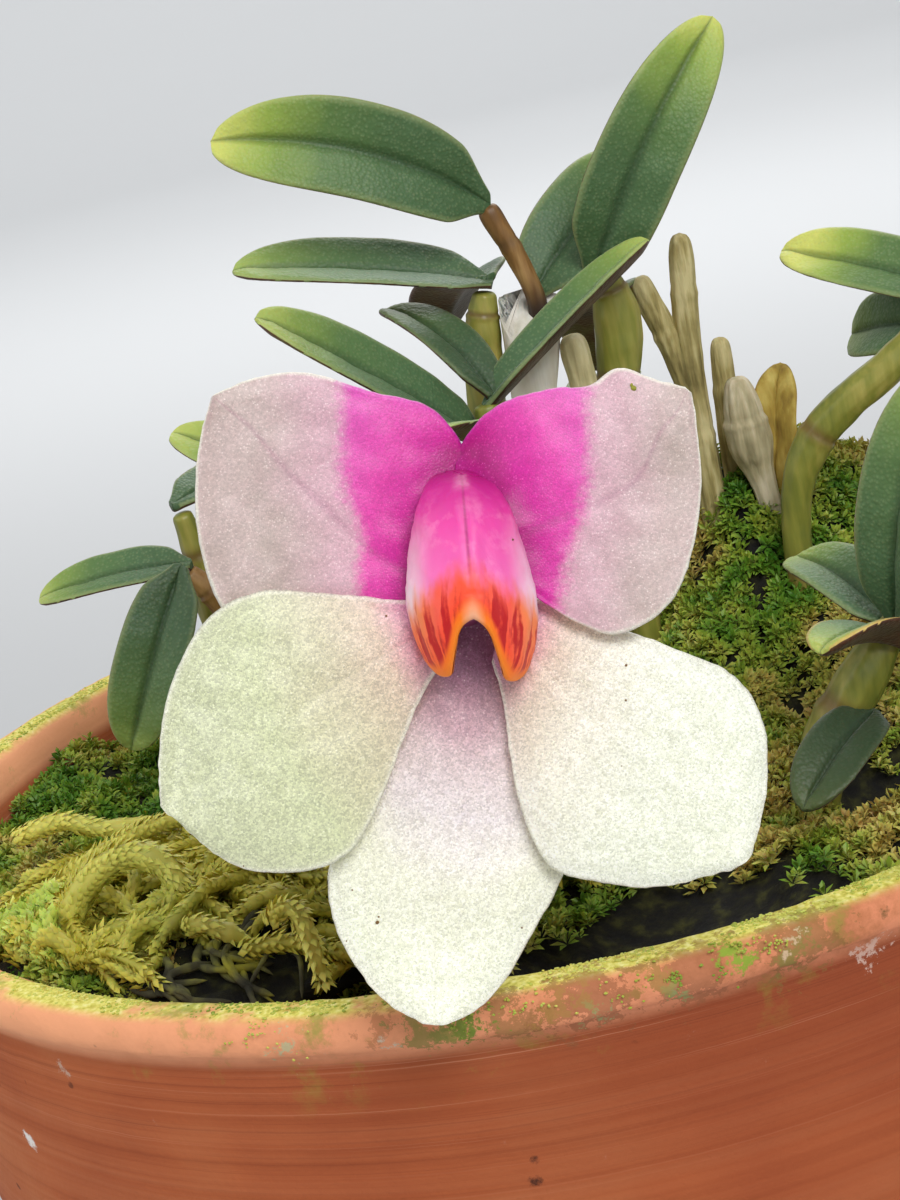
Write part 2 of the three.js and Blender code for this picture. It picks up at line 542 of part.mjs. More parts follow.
function lipSurface(u, v) {
  const angle = THREE.MathUtils.degToRad(v * LIP_WRAP);
  const swing = Math.abs(v);
  const lobe = Math.exp(-(((swing - 0.4) / 0.26) ** 2));
  const end = 0.7 + 0.3 * lobe - 0.05 * swing;
  const down = u * end;
  const widen = 0.34 + 0.66 * Math.sin(Math.min(down / 0.68, 1) * (Math.PI / 2));
  const close = 1 - 0.42 * smooth((down - 0.72) / 0.5);
  const half = LIP_HALF_WIDTH * widen * close;
  return vector(
    -0.4 + 1.1 * down + half * Math.sin(angle),
    LIP_TOP - LIP_LENGTH * down,
    0.9 + 1.5 * smooth(down / 0.5) + 1.05 * half * Math.cos(angle),
  );
}
addPiece(bloom, 'lip', blade(lipSurface, 8, 10, PETAL_THICKNESS), LIP);

// Column: short and stout inside the lip, with the anther at its end
addPiece(bloom, 'column', stalk([[0, 0.3, -1.6], [0, 0.5, 0.2], [0.1, 0.2, 2.2]], [1.6, 1.3, 1], 8, 4), COLUMN);

// Mentum: the blunt spur behind the bloom, formed by the feet of the lateral sepals
addPiece(bloom, 'mentum', stalk([[0, 3.6, -3.7], [0, 5.2, -5.6], [0, 6.6, -7.4]], [1.9, 1.6, 0.8], 9, 4), LIP);

// Ovary and pedicel: the ribbed ovary behind the bloom, and the thin stalk from the cane's end
const ovaryRoute = [
  [-4, -44.6, 92.9], [-4, -41.5, 92], [-4, -38, 91], [-3.7, -33, 90], [-3.1, -28, 89.9], [-2.8, -23.4, 90.6],
];
addPiece(plant, 'ovary_pedicel', stalk(ovaryRoute, [1.4, 1.7, 1.2, 0.6, 0.55, 0.6], 10, 12, 0.12), GREEN_CANE);

export default plant;
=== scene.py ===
# Potted dendrobium orchid: one upside-down bloom over a mossy clay pot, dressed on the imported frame.
# Sizes are in millimetres and become metres as each mesh is finished. The bloom faces -Y.
import json
import math
import random
from functools import partial

import bmesh
import bpy
from mathutils import Matrix, Vector, noise
from mathutils.bvhtree import BVHTree

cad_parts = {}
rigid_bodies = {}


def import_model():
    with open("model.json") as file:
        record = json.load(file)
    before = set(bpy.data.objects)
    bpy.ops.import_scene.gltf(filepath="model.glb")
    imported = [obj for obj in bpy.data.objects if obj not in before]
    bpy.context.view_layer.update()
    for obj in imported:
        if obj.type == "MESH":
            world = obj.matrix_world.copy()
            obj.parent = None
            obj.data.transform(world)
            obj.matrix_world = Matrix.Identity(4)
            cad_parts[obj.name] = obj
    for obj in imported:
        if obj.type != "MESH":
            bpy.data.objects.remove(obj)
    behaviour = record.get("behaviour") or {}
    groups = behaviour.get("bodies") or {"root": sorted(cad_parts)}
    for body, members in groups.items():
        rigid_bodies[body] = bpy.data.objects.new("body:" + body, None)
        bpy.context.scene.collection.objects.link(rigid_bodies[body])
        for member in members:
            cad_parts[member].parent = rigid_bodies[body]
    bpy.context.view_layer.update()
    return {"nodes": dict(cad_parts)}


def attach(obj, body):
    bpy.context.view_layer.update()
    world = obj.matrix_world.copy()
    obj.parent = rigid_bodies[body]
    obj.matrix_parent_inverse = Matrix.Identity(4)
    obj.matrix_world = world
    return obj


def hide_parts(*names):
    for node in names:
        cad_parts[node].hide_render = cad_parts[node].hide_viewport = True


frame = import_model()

# Camera and studio
# The camera stands 127 mm in front of the bloom and looks a little down on it. A pale round sweep is
# floor and wall in one, and large soft lamps light the plant as an overcast sky does.
MM = 0.001
BLOOM_CENTRE = Vector((-4.0, -46.9, 93.5))
LOOK_DOWN = 15.5
LEAN = -13.3
CAMERA_PLACE = Vector((-4.768, -169.206, 127.711)) * MM
SWEEP_RADIUS = 1.5
SWEEP_BEND = 0.5
SWEEP_TOP = 1.3

facing = Matrix.Rotation(math.radians(90 - LOOK_DOWN), 4, "X") @ Matrix.Rotation(math.radians(LEAN), 4, "Z")
camera_lens = bpy.data.cameras.new("camera")
camera_lens.lens = 72
camera_lens.sensor_width = 36
camera_lens.clip_start = 0.01
camera = bpy.data.objects.new("camera", camera_lens)
camera.matrix_world = Matrix.Translation(CAMERA_PLACE) @ facing
bpy.context.collection.objects.link(camera)
bpy.context.scene.camera = camera
bpy.context.scene.view_settings.view_transform = "Standard"


def linear(code):
    """An sRGB hex colour as linear red, green, blue and alpha."""
    shares = [int(code[place:place + 2], 16) / 255 for place in (1, 3, 5)]
    return tuple(s / 12.92 if s <= 0.04045 else ((s + 0.055) / 1.055) ** 2.4 for s in shares) + (1.0,)


def set_inputs(node, values):
    """Gives a node's open inputs, by name or number, their values, hex colours or links."""
    for name, value in values.items():
        socket = node.inputs[name]
        if isinstance(name, str):
            socket = next(each for each in node.inputs if each.enabled and each.name == name)
        if isinstance(value, bpy.types.NodeSocket):
            node.id_data.links.new(value, socket)
        else:
            socket.default_value = linear(value) if isinstance(value, str) else value


def finish(material, **surface):
    """Sets sockets of the material's Principled shader to values, hex colours or links."""
    shader = material.node_tree.nodes["Principled BSDF"]
    set_inputs(shader, {socket.replace("_", " "): value for socket, value in surface.items()})


def new_material(name, **surface):
    """A material with its Principled shader set."""
    material = bpy.data.materials.new(name)
    material.use_nodes = True
    finish(material, **surface)
    return material


def add_object(name, bm, material, smooth=True):
    """Turns a bmesh in millimetres into an object in metres at the origin."""
    mesh = bpy.data.meshes.new(name)
    bmesh.ops.recalc_face_normals(bm, faces=bm.faces)
    bmesh.ops.scale(bm, vec=(MM, MM, MM), verts=bm.verts)
    for face in bm.faces:
        face.smooth = smooth
    bm.to_mesh(mesh)
    bm.free()
    mesh.materials.append(material)
    thing = bpy.data.objects.new(name, mesh)
    bpy.context.collection.objects.link(thing)
    return thing


def add_lamp(name, place, aim, size, watts, tint="#FFFFFF"):
    """A square soft lamp at place that looks at aim, in metres."""
    lamp = bpy.data.lights.new(name, "AREA")
    lamp.size = size
    lamp.energy = watts
    lamp.color = linear(tint)[:3]
    holder = bpy.data.objects.new(name, lamp)
    turn = (Vector(aim) - Vector(place)).to_track_quat("-Z", "Y").to_matrix().to_4x4()
    holder.matrix_world = Matrix.Translation(place) @ turn
    bpy.context.collection.objects.link(holder)


def spun(outline, steps):
    """A closed turned shape from its outline, as (radius, height) points in millimetres."""
    bm = bmesh.new()
    corners = [bm.verts.new((radius, 0, height)) for radius, height in outline]
    for first, second in zip(corners, corners[1:]):
        bm.edges.new((first, second))
    turn = dict(axis=(0, 0, 1), angle=2 * math.pi, steps=steps, use_merge=True)
    bmesh.ops.spin(bm, geom=bm.verts[:] + bm.edges[:], **turn)
    bmesh.ops.remove_doubles(bm, verts=bm.verts, dist=0.001)
    return bm


sweep_edge = [(0, 0), (SWEEP_RADIUS, 0)]
for step in range(1, 9):
    bend = step / 8 * math.pi / 2
    sweep_edge.append((SWEEP_RADIUS + SWEEP_BEND * math.sin(bend), SWEEP_BEND * (1 - math.cos(bend))))
sweep_edge.append((SWEEP_RADIUS + SWEEP_BEND, SWEEP_TOP))
sweep = spun([(radius / MM, height / MM - 0.1) for radius, height in sweep_edge], 64)
floor = add_object("floor", sweep, new_material("matt_paper", Roughness=0.9, Base_Color="#C9CBCD"))
floor.data.flip_normals()

add_lamp("key_lamp", (0.16, -0.5, 0.5), (0, -0.03, 0.09), size=0.3, watts=2.9)
add_lamp("side_lamp", (-0.62, -0.12, 0.4), (0, 0, 0.08), size=0.5, watts=1.3)
add_lamp("back_lamp", (0.2, 0.62, 0.6), (0, 0, 0.09), size=0.5, watts=2.4)
add_lamp("wall_lamp", (0, 0.8, 1.1), (0, 2.0, 0.5), size=1.2, watts=16)
sky = bpy.data.worlds.new("sky")
bpy.context.scene.world = sky
sky.use_nodes = True
set_inputs(sky.node_tree.nodes["Background"], {"Color": "#FAF9F7", "Strength": 0.44})

# Pot
# Terracotta thrown on a wheel and fired without a glaze, so its wall keeps fine rings and grit. Salts
# have bloomed white under the lip, and algae have greened the damp rim. It stands free on its base.
POT_HEIGHT = 72.0
RIM_RADIUS = 50.0
RIM_WALL = 3.2
BASE_RADIUS = 37.0
POT_FLOOR = 5.0
LIP_BAND = 2.4
DRAIN_RADIUS = 4.0
DRAIN_CIRCLE = 17.0
POT_SEGMENTS = 320
WALL_STEPS = 130
RING_PITCH = 1.9
POT_BELLY = 3.0
POT_MARKS = [
    (-98.2, 71.2, 1.6, 3.4, "#8E6A3C", 0.6), (-93.0, 70.8, 2.2, 3.4, "#8A5434", 0.55),
    (-86.0, 70.9, 2.2, 3.4, "#8C5838", 0.5), (-79.0, 70.8, 2.2, 3.0, "#8A6838", 0.6),
    (-106.5, 71.4, 0.8, 3.2, "#B07048", 0.5),
    (-100.5, 71.0, 1.0, 2.2, "#6E8F32", 0.9), (-101.9, 70.3, 0.7, 2.0, "#7E8A3A", 0.75),
    (-92.6, 69.1, 0.4, 2.2, "#9AA872", 0.8), (-87.2, 69.7, 0.4, 2.0, "#93A468", 0.85),
    (-83.2, 71.1, 0.8, 1.6, "#8FA93A", 0.95), (-79.4, 70.2, 1.0, 2.2, "#8A8440", 0.7),
    (-79.6, 71.1, 0.2, 2.0, "#F0CEB0", 0.6), (-74.2, 68.7, 0.4, 2.4, "#E8CCBC", 0.6),
    (-73.0, 70.8, 0.2, 0.5, "#4E4A20", 0.9), (-113.0, 70.3, 0.4, 2.4, "#BDBA92", 0.85),
    (-134.5, 67.5, 0.4, 1.2, "#C9B8A8", 0.6), (-143.4, 60.3, 0.55, 0.6, "#EFE8E2", 1.0),
    (-103.8, 70.5, 1.0, 2.6, "#8E8848", 0.75), (-105.8, 70.1, 0.2, 1.4, "#D8CCB8", 0.7),
    (-88.6, 71.3, 0.7, 2.6, "#B08A4A", 0.6), (-94.6, 71.0, 0.8, 2.8, "#B08848", 0.6),
    (-98.7, 61.3, 0.1, 0.5, "#3A2018", 0.9), (-99.1, 59.9, 0.24, 0.5, "#3A2018", 0.9),
]
BACK_MARKS = 14


def blend(low, high, share):
    return low + (high - low) * share


def smooth(share):
    share = min(max(share, 0.0), 1.0)
    return share * share * (3 - 2 * share)


def outer_at(z):
    straight = blend(BASE_RADIUS, RIM_RADIUS - 0.9, z / POT_HEIGHT)
    return straight + POT_BELLY * math.sin(math.pi * z / POT_HEIGHT)


def inner_at(z):
    return blend(BASE_RADIUS - 3.8, RIM_RADIUS - RIM_WALL, z / POT_HEIGHT)


def around_pot(radius, angle, height):
    return Vector((radius * math.cos(angle), radius * math.sin(angle), height))


def throwing_rings(z):
    fine = 0.014 * math.sin(2 * math.pi * z / RING_PITCH) + 0.012 * math.sin(2 * math.pi * z / 0.83 + 1.1)
    return fine + 0.045 * noise.noise(Vector((0, 0, z * 0.45)))


def add_node(tree, kind, inputs=None, stops=(), out=None, **settings):
    """Adds a shader node and gives its output: the one named out, or else its first open one."""
    node = tree.nodes.new("ShaderNode" + kind)
    for name, value in settings.items():
        setattr(node, name, value)
    set_inputs(node, inputs or {})
    if stops:
        ramp = node.color_ramp
        ramp.elements[1].position, ramp.elements[1].color = stops[-1][0], linear(stops[-1][1])
        ramp.elements[0].position, ramp.elements[0].color = stops[0][0], linear(stops[0][1])
        for place, code in stops[1:-1]:
            ramp.elements.new(place).color = linear(code)
    return node.outputs[out] if out else next(each for each in node.outputs if each.enabled)


def patterned(name, **surface):
    """A material, the function that adds nodes to it, and the place on the object for its patterns."""
    material = new_material(name, **surface)
    add = partial(add_node, material.node_tree)
    return material, add, add("TexCoord", out="Object")


def lay_coats(add, tone, coats):
    """Lays coats over a tone, each by its share and its colour, and gives the colour that comes out."""
    for share, coat in coats:
        tone = add("Mix", {"Factor": share, "A": tone, "B": coat}, data_type="RGBA")
    return tone


lip_bottom = POT_HEIGHT - LIP_BAND
pot_edge = [(0, 0), (12, 0), (24, 0)]
pot_edge += [(BASE_RADIUS - 1.6, 0), (BASE_RADIUS - 0.9, 0.25), (BASE_RADIUS - 0.3, 0.8)]
for step in range(WALL_STEPS + 1):
    height = blend(1.4, lip_bottom - 1.2, step / WALL_STEPS)
    pot_edge.append((outer_at(height) + throwing_rings(height) - 0.08, height))
for step in range(15):
    swing = math.radians(blend(-80, 82, step / 14))
    pot_edge.append((RIM_RADIUS - 0.72 + 0.7 * math.cos(swing), POT_HEIGHT - 1.3 + 1.2 * math.sin(swing)))
for step in range(1, 8):
    pot_edge.append((blend(RIM_RADIUS - 0.9, RIM_RADIUS - RIM_WALL + 0.5, step / 7), POT_HEIGHT - 0.04))
for step in range(41):
    height = blend(POT_HEIGHT - 0.6, POT_FLOOR + 2, step / 40)
    pot_edge.append((inner_at(height) - throwing_rings(height * 0.7), height))
pot_edge += [(inner_at(POT_FLOOR) - 1, POT_FLOOR + 0.5), (inner_at(POT_FLOOR) - 2.4, POT_FLOOR)]
pot_edge += [(14, POT_FLOOR), (0, POT_FLOOR)]

pot_mesh = spun(pot_edge, POT_SEGMENTS)
for vert in pot_mesh.verts:
    if vert.co.z > 1 and vert.co.xy.length > BASE_RADIUS - 4:
        rim = smooth((vert.co.z - lip_bottom + 1.5) / 2)
        wobble = 0.12 * noise.noise(vert.co * 0.06) + 0.07 * noise.noise(vert.co * 0.8) - 0.1
        wear = rim * 0.16 * (noise.fractal(vert.co * 0.5, 1.0, 2.0, 3) - 0.6)
        vert.co.xy *= 1 + (wobble + wear) / vert.co.xy.length
        vert.co.z += rim * (0.1 * noise.noise(vert.co * 0.9) - 0.1)
bmesh.ops.recalc_face_normals(pot_mesh, faces=pot_mesh.faces)

# Fired red clay: matt and porous, salmon with painted light on the lip, and streaked along the rings.
clay, add, place = patterned("fired_red_clay", Roughness=0.88, Specular_IOR_Level=0.3)
parts = add("SeparateXYZ", {"Vector": place}).node.outputs
height = add("Math", {0: parts["Z"], 1: 1000.0}, operation="MULTIPLY")
stretched = add("Mapping", {"Vector": place, "Scale": (14, 14, 1500)})
streaks = add("TexNoise", {"Vector": stretched, "Scale": 1.0, "Detail": 5.0})
clouds = add("TexNoise", {"Vector": place, "Scale": 70.0, "Detail": 5.0})
grit = add("TexNoise", {"Vector": place, "Scale": 2600.0, "Detail": 2.0})
body = add("ValToRGB", {"Fac": clouds}, stops=[(0.3, "#A6522C"), (0.5, "#B86236"), (0.72, "#C6784A")])
lined = add("ValToRGB", {"Fac": streaks}, stops=[(0.3, "#8C4428"), (0.45, "#B4623C"), (0.7, "#CC825A")])
colour = add("Mix", {"Factor": 0.3, "A": body, "B": lined}, data_type="RGBA")
rightward = add("MapRange", {"Value": parts["X"], "From Min": -38 * MM, "From Max": 8 * MM})

# Under the lip the wall is darker towards the right, painted shade under the overhanging lip, and fine
# lines left by the potter's rib run round it.
finer = add("Mapping", {"Vector": place, "Scale": (9, 9, 4600)})
finer = add("TexNoise", {"Vector": finer, "Scale": 1.0, "Detail": 4.0, "Roughness": 0.7})
under = add(
    "MapRange", {"Value": height, "From Min": lip_bottom - 12, "From Max": lip_bottom - 1, "To Max": 0.75}
)
under_lip_shade = add("Math", {0: under, 1: rightward}, operation="MULTIPLY")
# Painted shade: the whole wall darkens towards the right.
shaded = add("Math", {0: rightward, 1: 0.45}, operation="MULTIPLY")
coats = [(under_lip_shade, "#7E3820"), (shaded, "#9C4A2A")]
for low_share, high_share, code in ((0.46, 0.32, "#5E2416"), (0.6, 0.72, "#E0A080")):
    scored = add("MapRange", {"Value": finer, "From Min": low_share, "From Max": high_share, "To Max": 0.7})
    coats.append((add("Math", {0: scored, 1: under}, operation="MULTIPLY"), code))

# The lip band is salmon, painted light from above on its rounded face that dims towards the right, and
# mottled brown where it stays damp.
lit_lip_band = add(
    "MapRange", {"Value": height, "From Min": lip_bottom - 1.2, "From Max": lip_bottom - 0.2, "To Max": 0.9}
)
salmon = add("Mix", {"Factor": rightward, "A": "#FFB486", "B": "#EE9A72"}, data_type="RGBA")
damp = add("TexNoise", {"Vector": place, "Scale": 240.0, "Detail": 8.0, "Roughness": 0.7})
damp = add("MapRange", {"Value": damp, "From Min": 0.42, "From Max": 0.62, "To Max": 0.7})
damp = add("Math", {0: damp, 1: rightward}, operation="MULTIPLY")
salmon = add("Mix", {"Factor": damp, "A": salmon, "B": "#A8683C"}, data_type="RGBA")
speck = add("TexVoronoi", {"Vector": place, "Scale": 420.0})
speck = add("MapRange", {"Value": speck, "From Min": 0.09, "From Max": 0.13, "To Min": 0.65, "To Max": 0.0})
sparse = add("TexNoise", {"Vector": place, "Scale": 300.0})
sparse = add("MapRange", {"Value": sparse, "From Min": 0.6, "From Max": 0.64})
speck = add("Math", {0: speck, 1: sparse}, operation="MULTIPLY")
coats += [(lit_lip_band, salmon), (speck, "#4A2418")]

# Salts: a broken white bloom in the band under the lip.
low = add("MapRange", {"Value": height, "From Min": 56.0, "From Max": 69.0, "To Max": 0.8})
salt = add("TexNoise", {"Vector": place, "Scale": 260.0, "Detail": 9.0, "Roughness": 0.78})
salt = add("MapRange", {"Value": salt, "From Min": 0.64, "From Max": 0.82})
coats.append((add("Math", {0: salt, 1: low}, operation="MULTIPLY"), "#D9C6B4"))

# Algae: a yellow-green coat on the flat of the rim and the damp inner wall, and patches over the lip.
reach = add("VectorMath", {0: place, 1: (1000, 1000, 0)}, operation="MULTIPLY")
reach = add("VectorMath", {0: reach}, operation="LENGTH")
flat = add("MapRange", {"Value": height, "From Min": POT_HEIGHT - 0.6, "From Max": POT_HEIGHT - 0.15})
inside = add("MapRange", {"Value": reach, "From Min": RIM_RADIUS - 0.5, "From Max": RIM_RADIUS - 1.3})
cover = add("TexNoise", {"Vector": place, "Scale": 110.0, "Detail": 9.0, "Roughness": 0.66})
cover = add("Math", {0: rightward, 1: 0.1, 2: cover}, operation="MULTIPLY_ADD")
cover = add("MapRange", {"Value": cover, "From Min": 0.42, "From Max": 0.52})
coat = add("Math", {0: flat, 1: inside}, operation="MULTIPLY")
coat = add("Math", {0: coat, 1: cover}, operation="MULTIPLY")
algae_tone = add("ValToRGB", {"Fac": grit}, stops=[(0.3, "#BDB446"), (0.5, "#E2DA6C"), (0.7, "#F2EC9C")])
near_lip = add("MapRange", {"Value": height, "From Min": 65.0, "From Max": 71.0})
patch = add("TexNoise", {"Vector": place, "Scale": 120.0, "Detail": 9.0, "Roughness": 0.7})
patch = add("MapRange", {"Value": patch, "From Min": 0.56, "From Max": 0.66, "To Max": 0.75})
patch = add("Math", {0: patch, 1: near_lip}, operation="MULTIPLY")
coats += [(coat, algae_tone), (patch, "#8C9A3E")]

# Crusts, salts, chips and pits where the photograph has them, and others round the back. Each is a spot
# on the wall with a frayed edge: degrees, height, size, fray, tone and strength.
draw = random.Random(31)
for _ in range(BACK_MARKS):
    code = draw.choice(["#6E8F32", "#8FA93A", "#BDBA92", "#E8CCBC"])
    degrees, level, size = draw.uniform(-60, 205), draw.uniform(68, 71.2), draw.uniform(0.3, 1.2)
    POT_MARKS.append((degrees, level, size, 2.4, code, 0.8))
fray_noise = add("TexNoise", {"Vector": place, "Scale": 900.0, "Detail": 7.0, "Roughness": 0.75})
for degrees, level, size, fray, code, strength in POT_MARKS:
    wall = RIM_RADIUS - 0.1 if level > lip_bottom - 0.8 else outer_at(level)
    spot = around_pot(wall, math.radians(degrees), level) * MM
    away = add("VectorMath", {0: place, 1: spot}, operation="DISTANCE")
    away = add("Math", {0: fray_noise, 1: fray * 4.4 * MM, 2: away}, operation="MULTIPLY_ADD")
    near, far = (size + fray * 2.2 - 0.2) * MM, (size + fray * 2.2 + 0.15) * MM
    stain = add("MapRange", {"Value": away, "From Min": far, "From Max": near, "To Max": strength})
    coats.append((stain, code))
colour = lay_coats(add, colour, coats)
grain = add("Bump", {"Height": grit, "Strength": 0.35, "Distance": 0.00012})
lines = add("Bump", {"Height": streaks, "Strength": 0.25, "Distance": 0.00012, "Normal": grain})
finish(clay, Base_Color=colour, Normal=lines)

pot = add_object("clay_pot", pot_mesh, clay)
drills = bmesh.new()
for turn in range(3):
    centre = Matrix.Translation(around_pot(DRAIN_CIRCLE, math.pi / 2 + turn * 2 * math.pi / 3, POT_FLOOR / 2))
    bmesh.ops.create_cone(
        drills, cap_ends=True, segments=40, radius1=DRAIN_RADIUS, radius2=DRAIN_RADIUS, depth=POT_FLOOR * 2,
        matrix=centre,
    )
drill = add_object("drill", drills, clay, smooth=False)
cut = pot.modifiers.new("drain_holes", "BOOLEAN")
cut.object = drill
cut.operation = "DIFFERENCE"
cut.solver = "EXACT"


def apply_modifiers(thing):
    """Replaces the object's mesh by what its modifiers make of it."""
    shape = bpy.data.meshes.new_from_object(thing.evaluated_get(bpy.context.evaluated_depsgraph_get()))
    thing.modifiers.clear()
    thing.data = shape


apply_modifiers(pot)
bpy.data.objects.remove(drill)
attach(pot, "root")
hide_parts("pot")

# Algae crumbs
# Velvety green crusts that grow where the rim stays wet. They are grains a few tenths of a millimetre
# across, held to the clay, thickest on the inner half of the rim.
ALGAE_GRAINS = 4600
# Each clump: degrees round the rim, spread in degrees, and share of grains.
ALGAE_CLUMPS = [
    (-99.3, 3.0, 1.0), (-83.1, 3.0, 1.0), (-91.6, 1.4, 0.3), (-88.0, 1.4, 0.3), (-113.8, 3.4, 0.35),
    (-70.0, 3.0, 0.5), (20.0, 4.0, 0.7), (95.0, 4.0, 0.6), (160.0, 5.0, 0.8),
]


def scatter_copies(bm, template, places):
    """Adds a copy of the template mesh, with its marks, at each of the places."""
    corners = [vert.co.copy() for vert in template.vertices]
    faces = [tuple(face.vertices) for face in template.polygons]
    marks = []
    for mark in template.attributes:
        if mark.data_type == "FLOAT":
            layer = bm.verts.layers.float.get(mark.name) or bm.verts.layers.float.new(mark.name)
            marks.append((layer, [item.value for item in mark.data]))
    for spot in places:
        copy = [bm.verts.new(spot @ corner) for corner in corners]
        for layer, values in marks:
            for vert, value in zip(copy, values):
                vert[layer] = value
        for face in faces:
            bm.faces.new([copy[index] for index in face])


def make_template(name, bm):
    template = bpy.data.meshes.new(name)
    bm.to_mesh(template)
    bm.free()
    return template


grain_shape = bmesh.new()
bmesh.ops.create_icosphere(grain_shape, subdivisions=1, radius=1.0)
grain_mesh = make_template("algae_grain", grain_shape)
draw = random.Random(4)
spots = []
while len(spots) < ALGAE_GRAINS:
    angle = math.radians(draw.uniform(0, 360))
    radius = RIM_RADIUS - 0.9 - (RIM_WALL - 1.2) * math.sqrt(draw.random())
    where = around_pot(radius, angle, POT_HEIGHT - 0.12)
    if noise.noise(where * 0.22) + 0.35 * noise.noise(where * 1.3) > draw.uniform(-0.25, 0.25):
        size = draw.uniform(0.05, 0.13)
        squash = Matrix.Diagonal((size * draw.uniform(0.7, 1.5), size, size * 0.45, 1))
        spots.append(Matrix.Translation(where) @ Matrix.Rotation(draw.uniform(0, 3), 4, "Z") @ squash)
for degrees, spread, share in ALGAE_CLUMPS:
    for _ in range(int(500 * share)):
        angle = math.radians(degrees + draw.gauss(0, spread * 0.5))
        drop = abs(draw.gauss(0, 0.85))
        radius = RIM_RADIUS - 0.12 if drop > 0.4 else RIM_RADIUS - draw.uniform(0.2, 1.5)
        where = around_pot(radius, angle, POT_HEIGHT - 0.12 - drop)
        if noise.noise(where * 1.1) + 0.5 * noise.noise(where * 3.0) > 0.05 + 0.12 * drop:
            size = draw.uniform(0.04, 0.1)
            squash = Matrix.Diagonal((size * 0.5, size * draw.uniform(0.8, 1.5), size, 1))
            spots.append(Matrix.Translation(where) @ Matrix.Rotation(angle, 4, "Z") @ squash)
algae_mesh = bmesh.new()
scatter_copies(algae_mesh, grain_mesh, spots)


def mottled(name, scale, detail, stops, relief=0, **surface):
    """A material whose colour, and relief in metres where it has one, follow a noise of this scale."""
    material, add, place = patterned(name, **surface)
    mottle = add("TexNoise", {"Vector": place, "Scale": scale, "Detail": detail})
    finish(material, Base_Color=add("ValToRGB", {"Fac": mottle}, stops=stops))
    if relief:
        finish(material, Normal=add("Bump", {"Height": mottle, "Strength": 1.0, "Distance": relief}))
    return material


# Algae film: soft and slightly moist, yellow in the light and leaf green in the thick clumps.
algae = mottled(
    "algae_film", 130.0, 4.0, [(0.34, "#7F9A2C"), (0.5, "#B4BC4A"), (0.66, "#DAD56A")],
    Roughness=0.65, Subsurface_Weight=0.2, Subsurface_Scale=0.0005,
)
crumbs = add_object("rim_algae", algae_mesh, algae)
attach(crumbs, "root")

# Potting mix
# Composted bark and grit that fills the pot up to the moss. It shows only through the drain holes,
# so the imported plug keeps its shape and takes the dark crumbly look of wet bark.
bark, add, place = patterned("composted_bark", Roughness=0.95)
chips = add("TexVoronoi", {"Vector": place, "Scale": 330.0})
tone = add("ValToRGB", {"Fac": chips}, stops=[(0.1, "#5A402A"), (0.5, "#33231A"), (0.9, "#140E0A")])
crumble = add("Bump", {"Height": chips, "Strength": 0.9, "Distance": 0.001}, invert=True)
finish(bark, Base_Color=tone, Normal=crumble)
frame["nodes"]["potting_mix"].material_slots[0].material = bark

# Moss carpet
# Living star moss on the surface of the mix: low at the left, mounded over the rim at the rear right,
# bare and dark in the hollow at the front. Thousands of leafy shoots stand in a felt of old stems, painted
# near black as the shade between them.
MOSS_EDGE = inner_at(67.4) - 0.35
CARPET_LEVEL = 67.4
MIX_TOP = 63.5
# Each mound: its place, reach and rise. Each hollow: its place and reach.
MOUNDS = [
    (25, 20, 25, 9.5), (12, 38, 16, 4.5), (36, -2, 15, 4.5), (-28, -25, 18, 2.4),
    (14, -34, 10, 1.6), (2, -37, 9, -1.6), (-34, 16, 14, -0.6), (18, 6, 14, 5.5), (23, 16, 13, 4.0),
]
CUSHIONS = 56
MOUND_CELL = 6.0
HOLLOWS = [(0, -40, 12), (7, -40, 11), (8, -33, 6), (4, -33, 8), (-20, -38, 7), (20, -21, 5)]
SHOOTS = 21000
FELT_RINGS = 76
FELT_SEGMENTS = 240


def lcg(seed):
    """The same repeatable draws that place the cushions of the solid carpet."""
    state = seed
    while True:
        state = (state * 1664525 + 1013904223) % 4294967296
        yield state / 4294967296


def carpet_mounds():
    draws = lcg(11)
    for _ in range(CUSHIONS):
        radius = 44 * math.sqrt(next(draws))
        angle = 2 * math.pi * next(draws)
        size, turn = next(draws), next(draws)
        yield radius * math.cos(angle), radius * math.sin(angle), 5 + 3.5 * size, 0.8 + 1.4 * turn


mounds_near = {}
for mound in MOUNDS + list(carpet_mounds()):
    low_x, high_x = (int((mound[0] + side * mound[2]) // MOUND_CELL) for side in (-1, 1))
    low_y, high_y = (int((mound[1] + side * mound[2]) // MOUND_CELL) for side in (-1, 1))
    for column in range(low_x, high_x + 1):
        for row in range(low_y, high_y + 1):
            mounds_near.setdefault((column, row), []).append(mound)


def moss_height(x, y):
    level = CARPET_LEVEL
    for cx, cy, wide, rise in mounds_near.get((int(x // MOUND_CELL), int(y // MOUND_CELL)), ()):
        level += rise * smooth(1 - math.hypot(x - cx, y - cy) / wide)
    return level


def hollow_at(x, y):
    """How deep in one of the bare hollows a place is, from 0 to 1."""
    return max(smooth(1.25 - math.hypot(x - cx, y - cy) / wide) for cx, cy, wide in HOLLOWS)


felt_edge = [(step / FELT_RINGS * MOSS_EDGE, CARPET_LEVEL) for step in range(FELT_RINGS + 1)]
felt_edge += [(MOSS_EDGE - 0.2, MIX_TOP + 0.3), (0, MIX_TOP + 0.3)]
felt_mesh = spun(felt_edge, FELT_SEGMENTS)
for vert in felt_mesh.verts:
    if vert.co.z > CARPET_LEVEL - 1:
        crumble = 0.35 * noise.fractal(vert.co * 0.5, 1.0, 2.0, 4) - 2.4 * hollow_at(vert.co.x, vert.co.y)
        edge = smooth((MOSS_EDGE - vert.co.xy.length) / 2)
        vert.co.z = moss_height(vert.co.x, vert.co.y) - 0.5 + crumble * edge
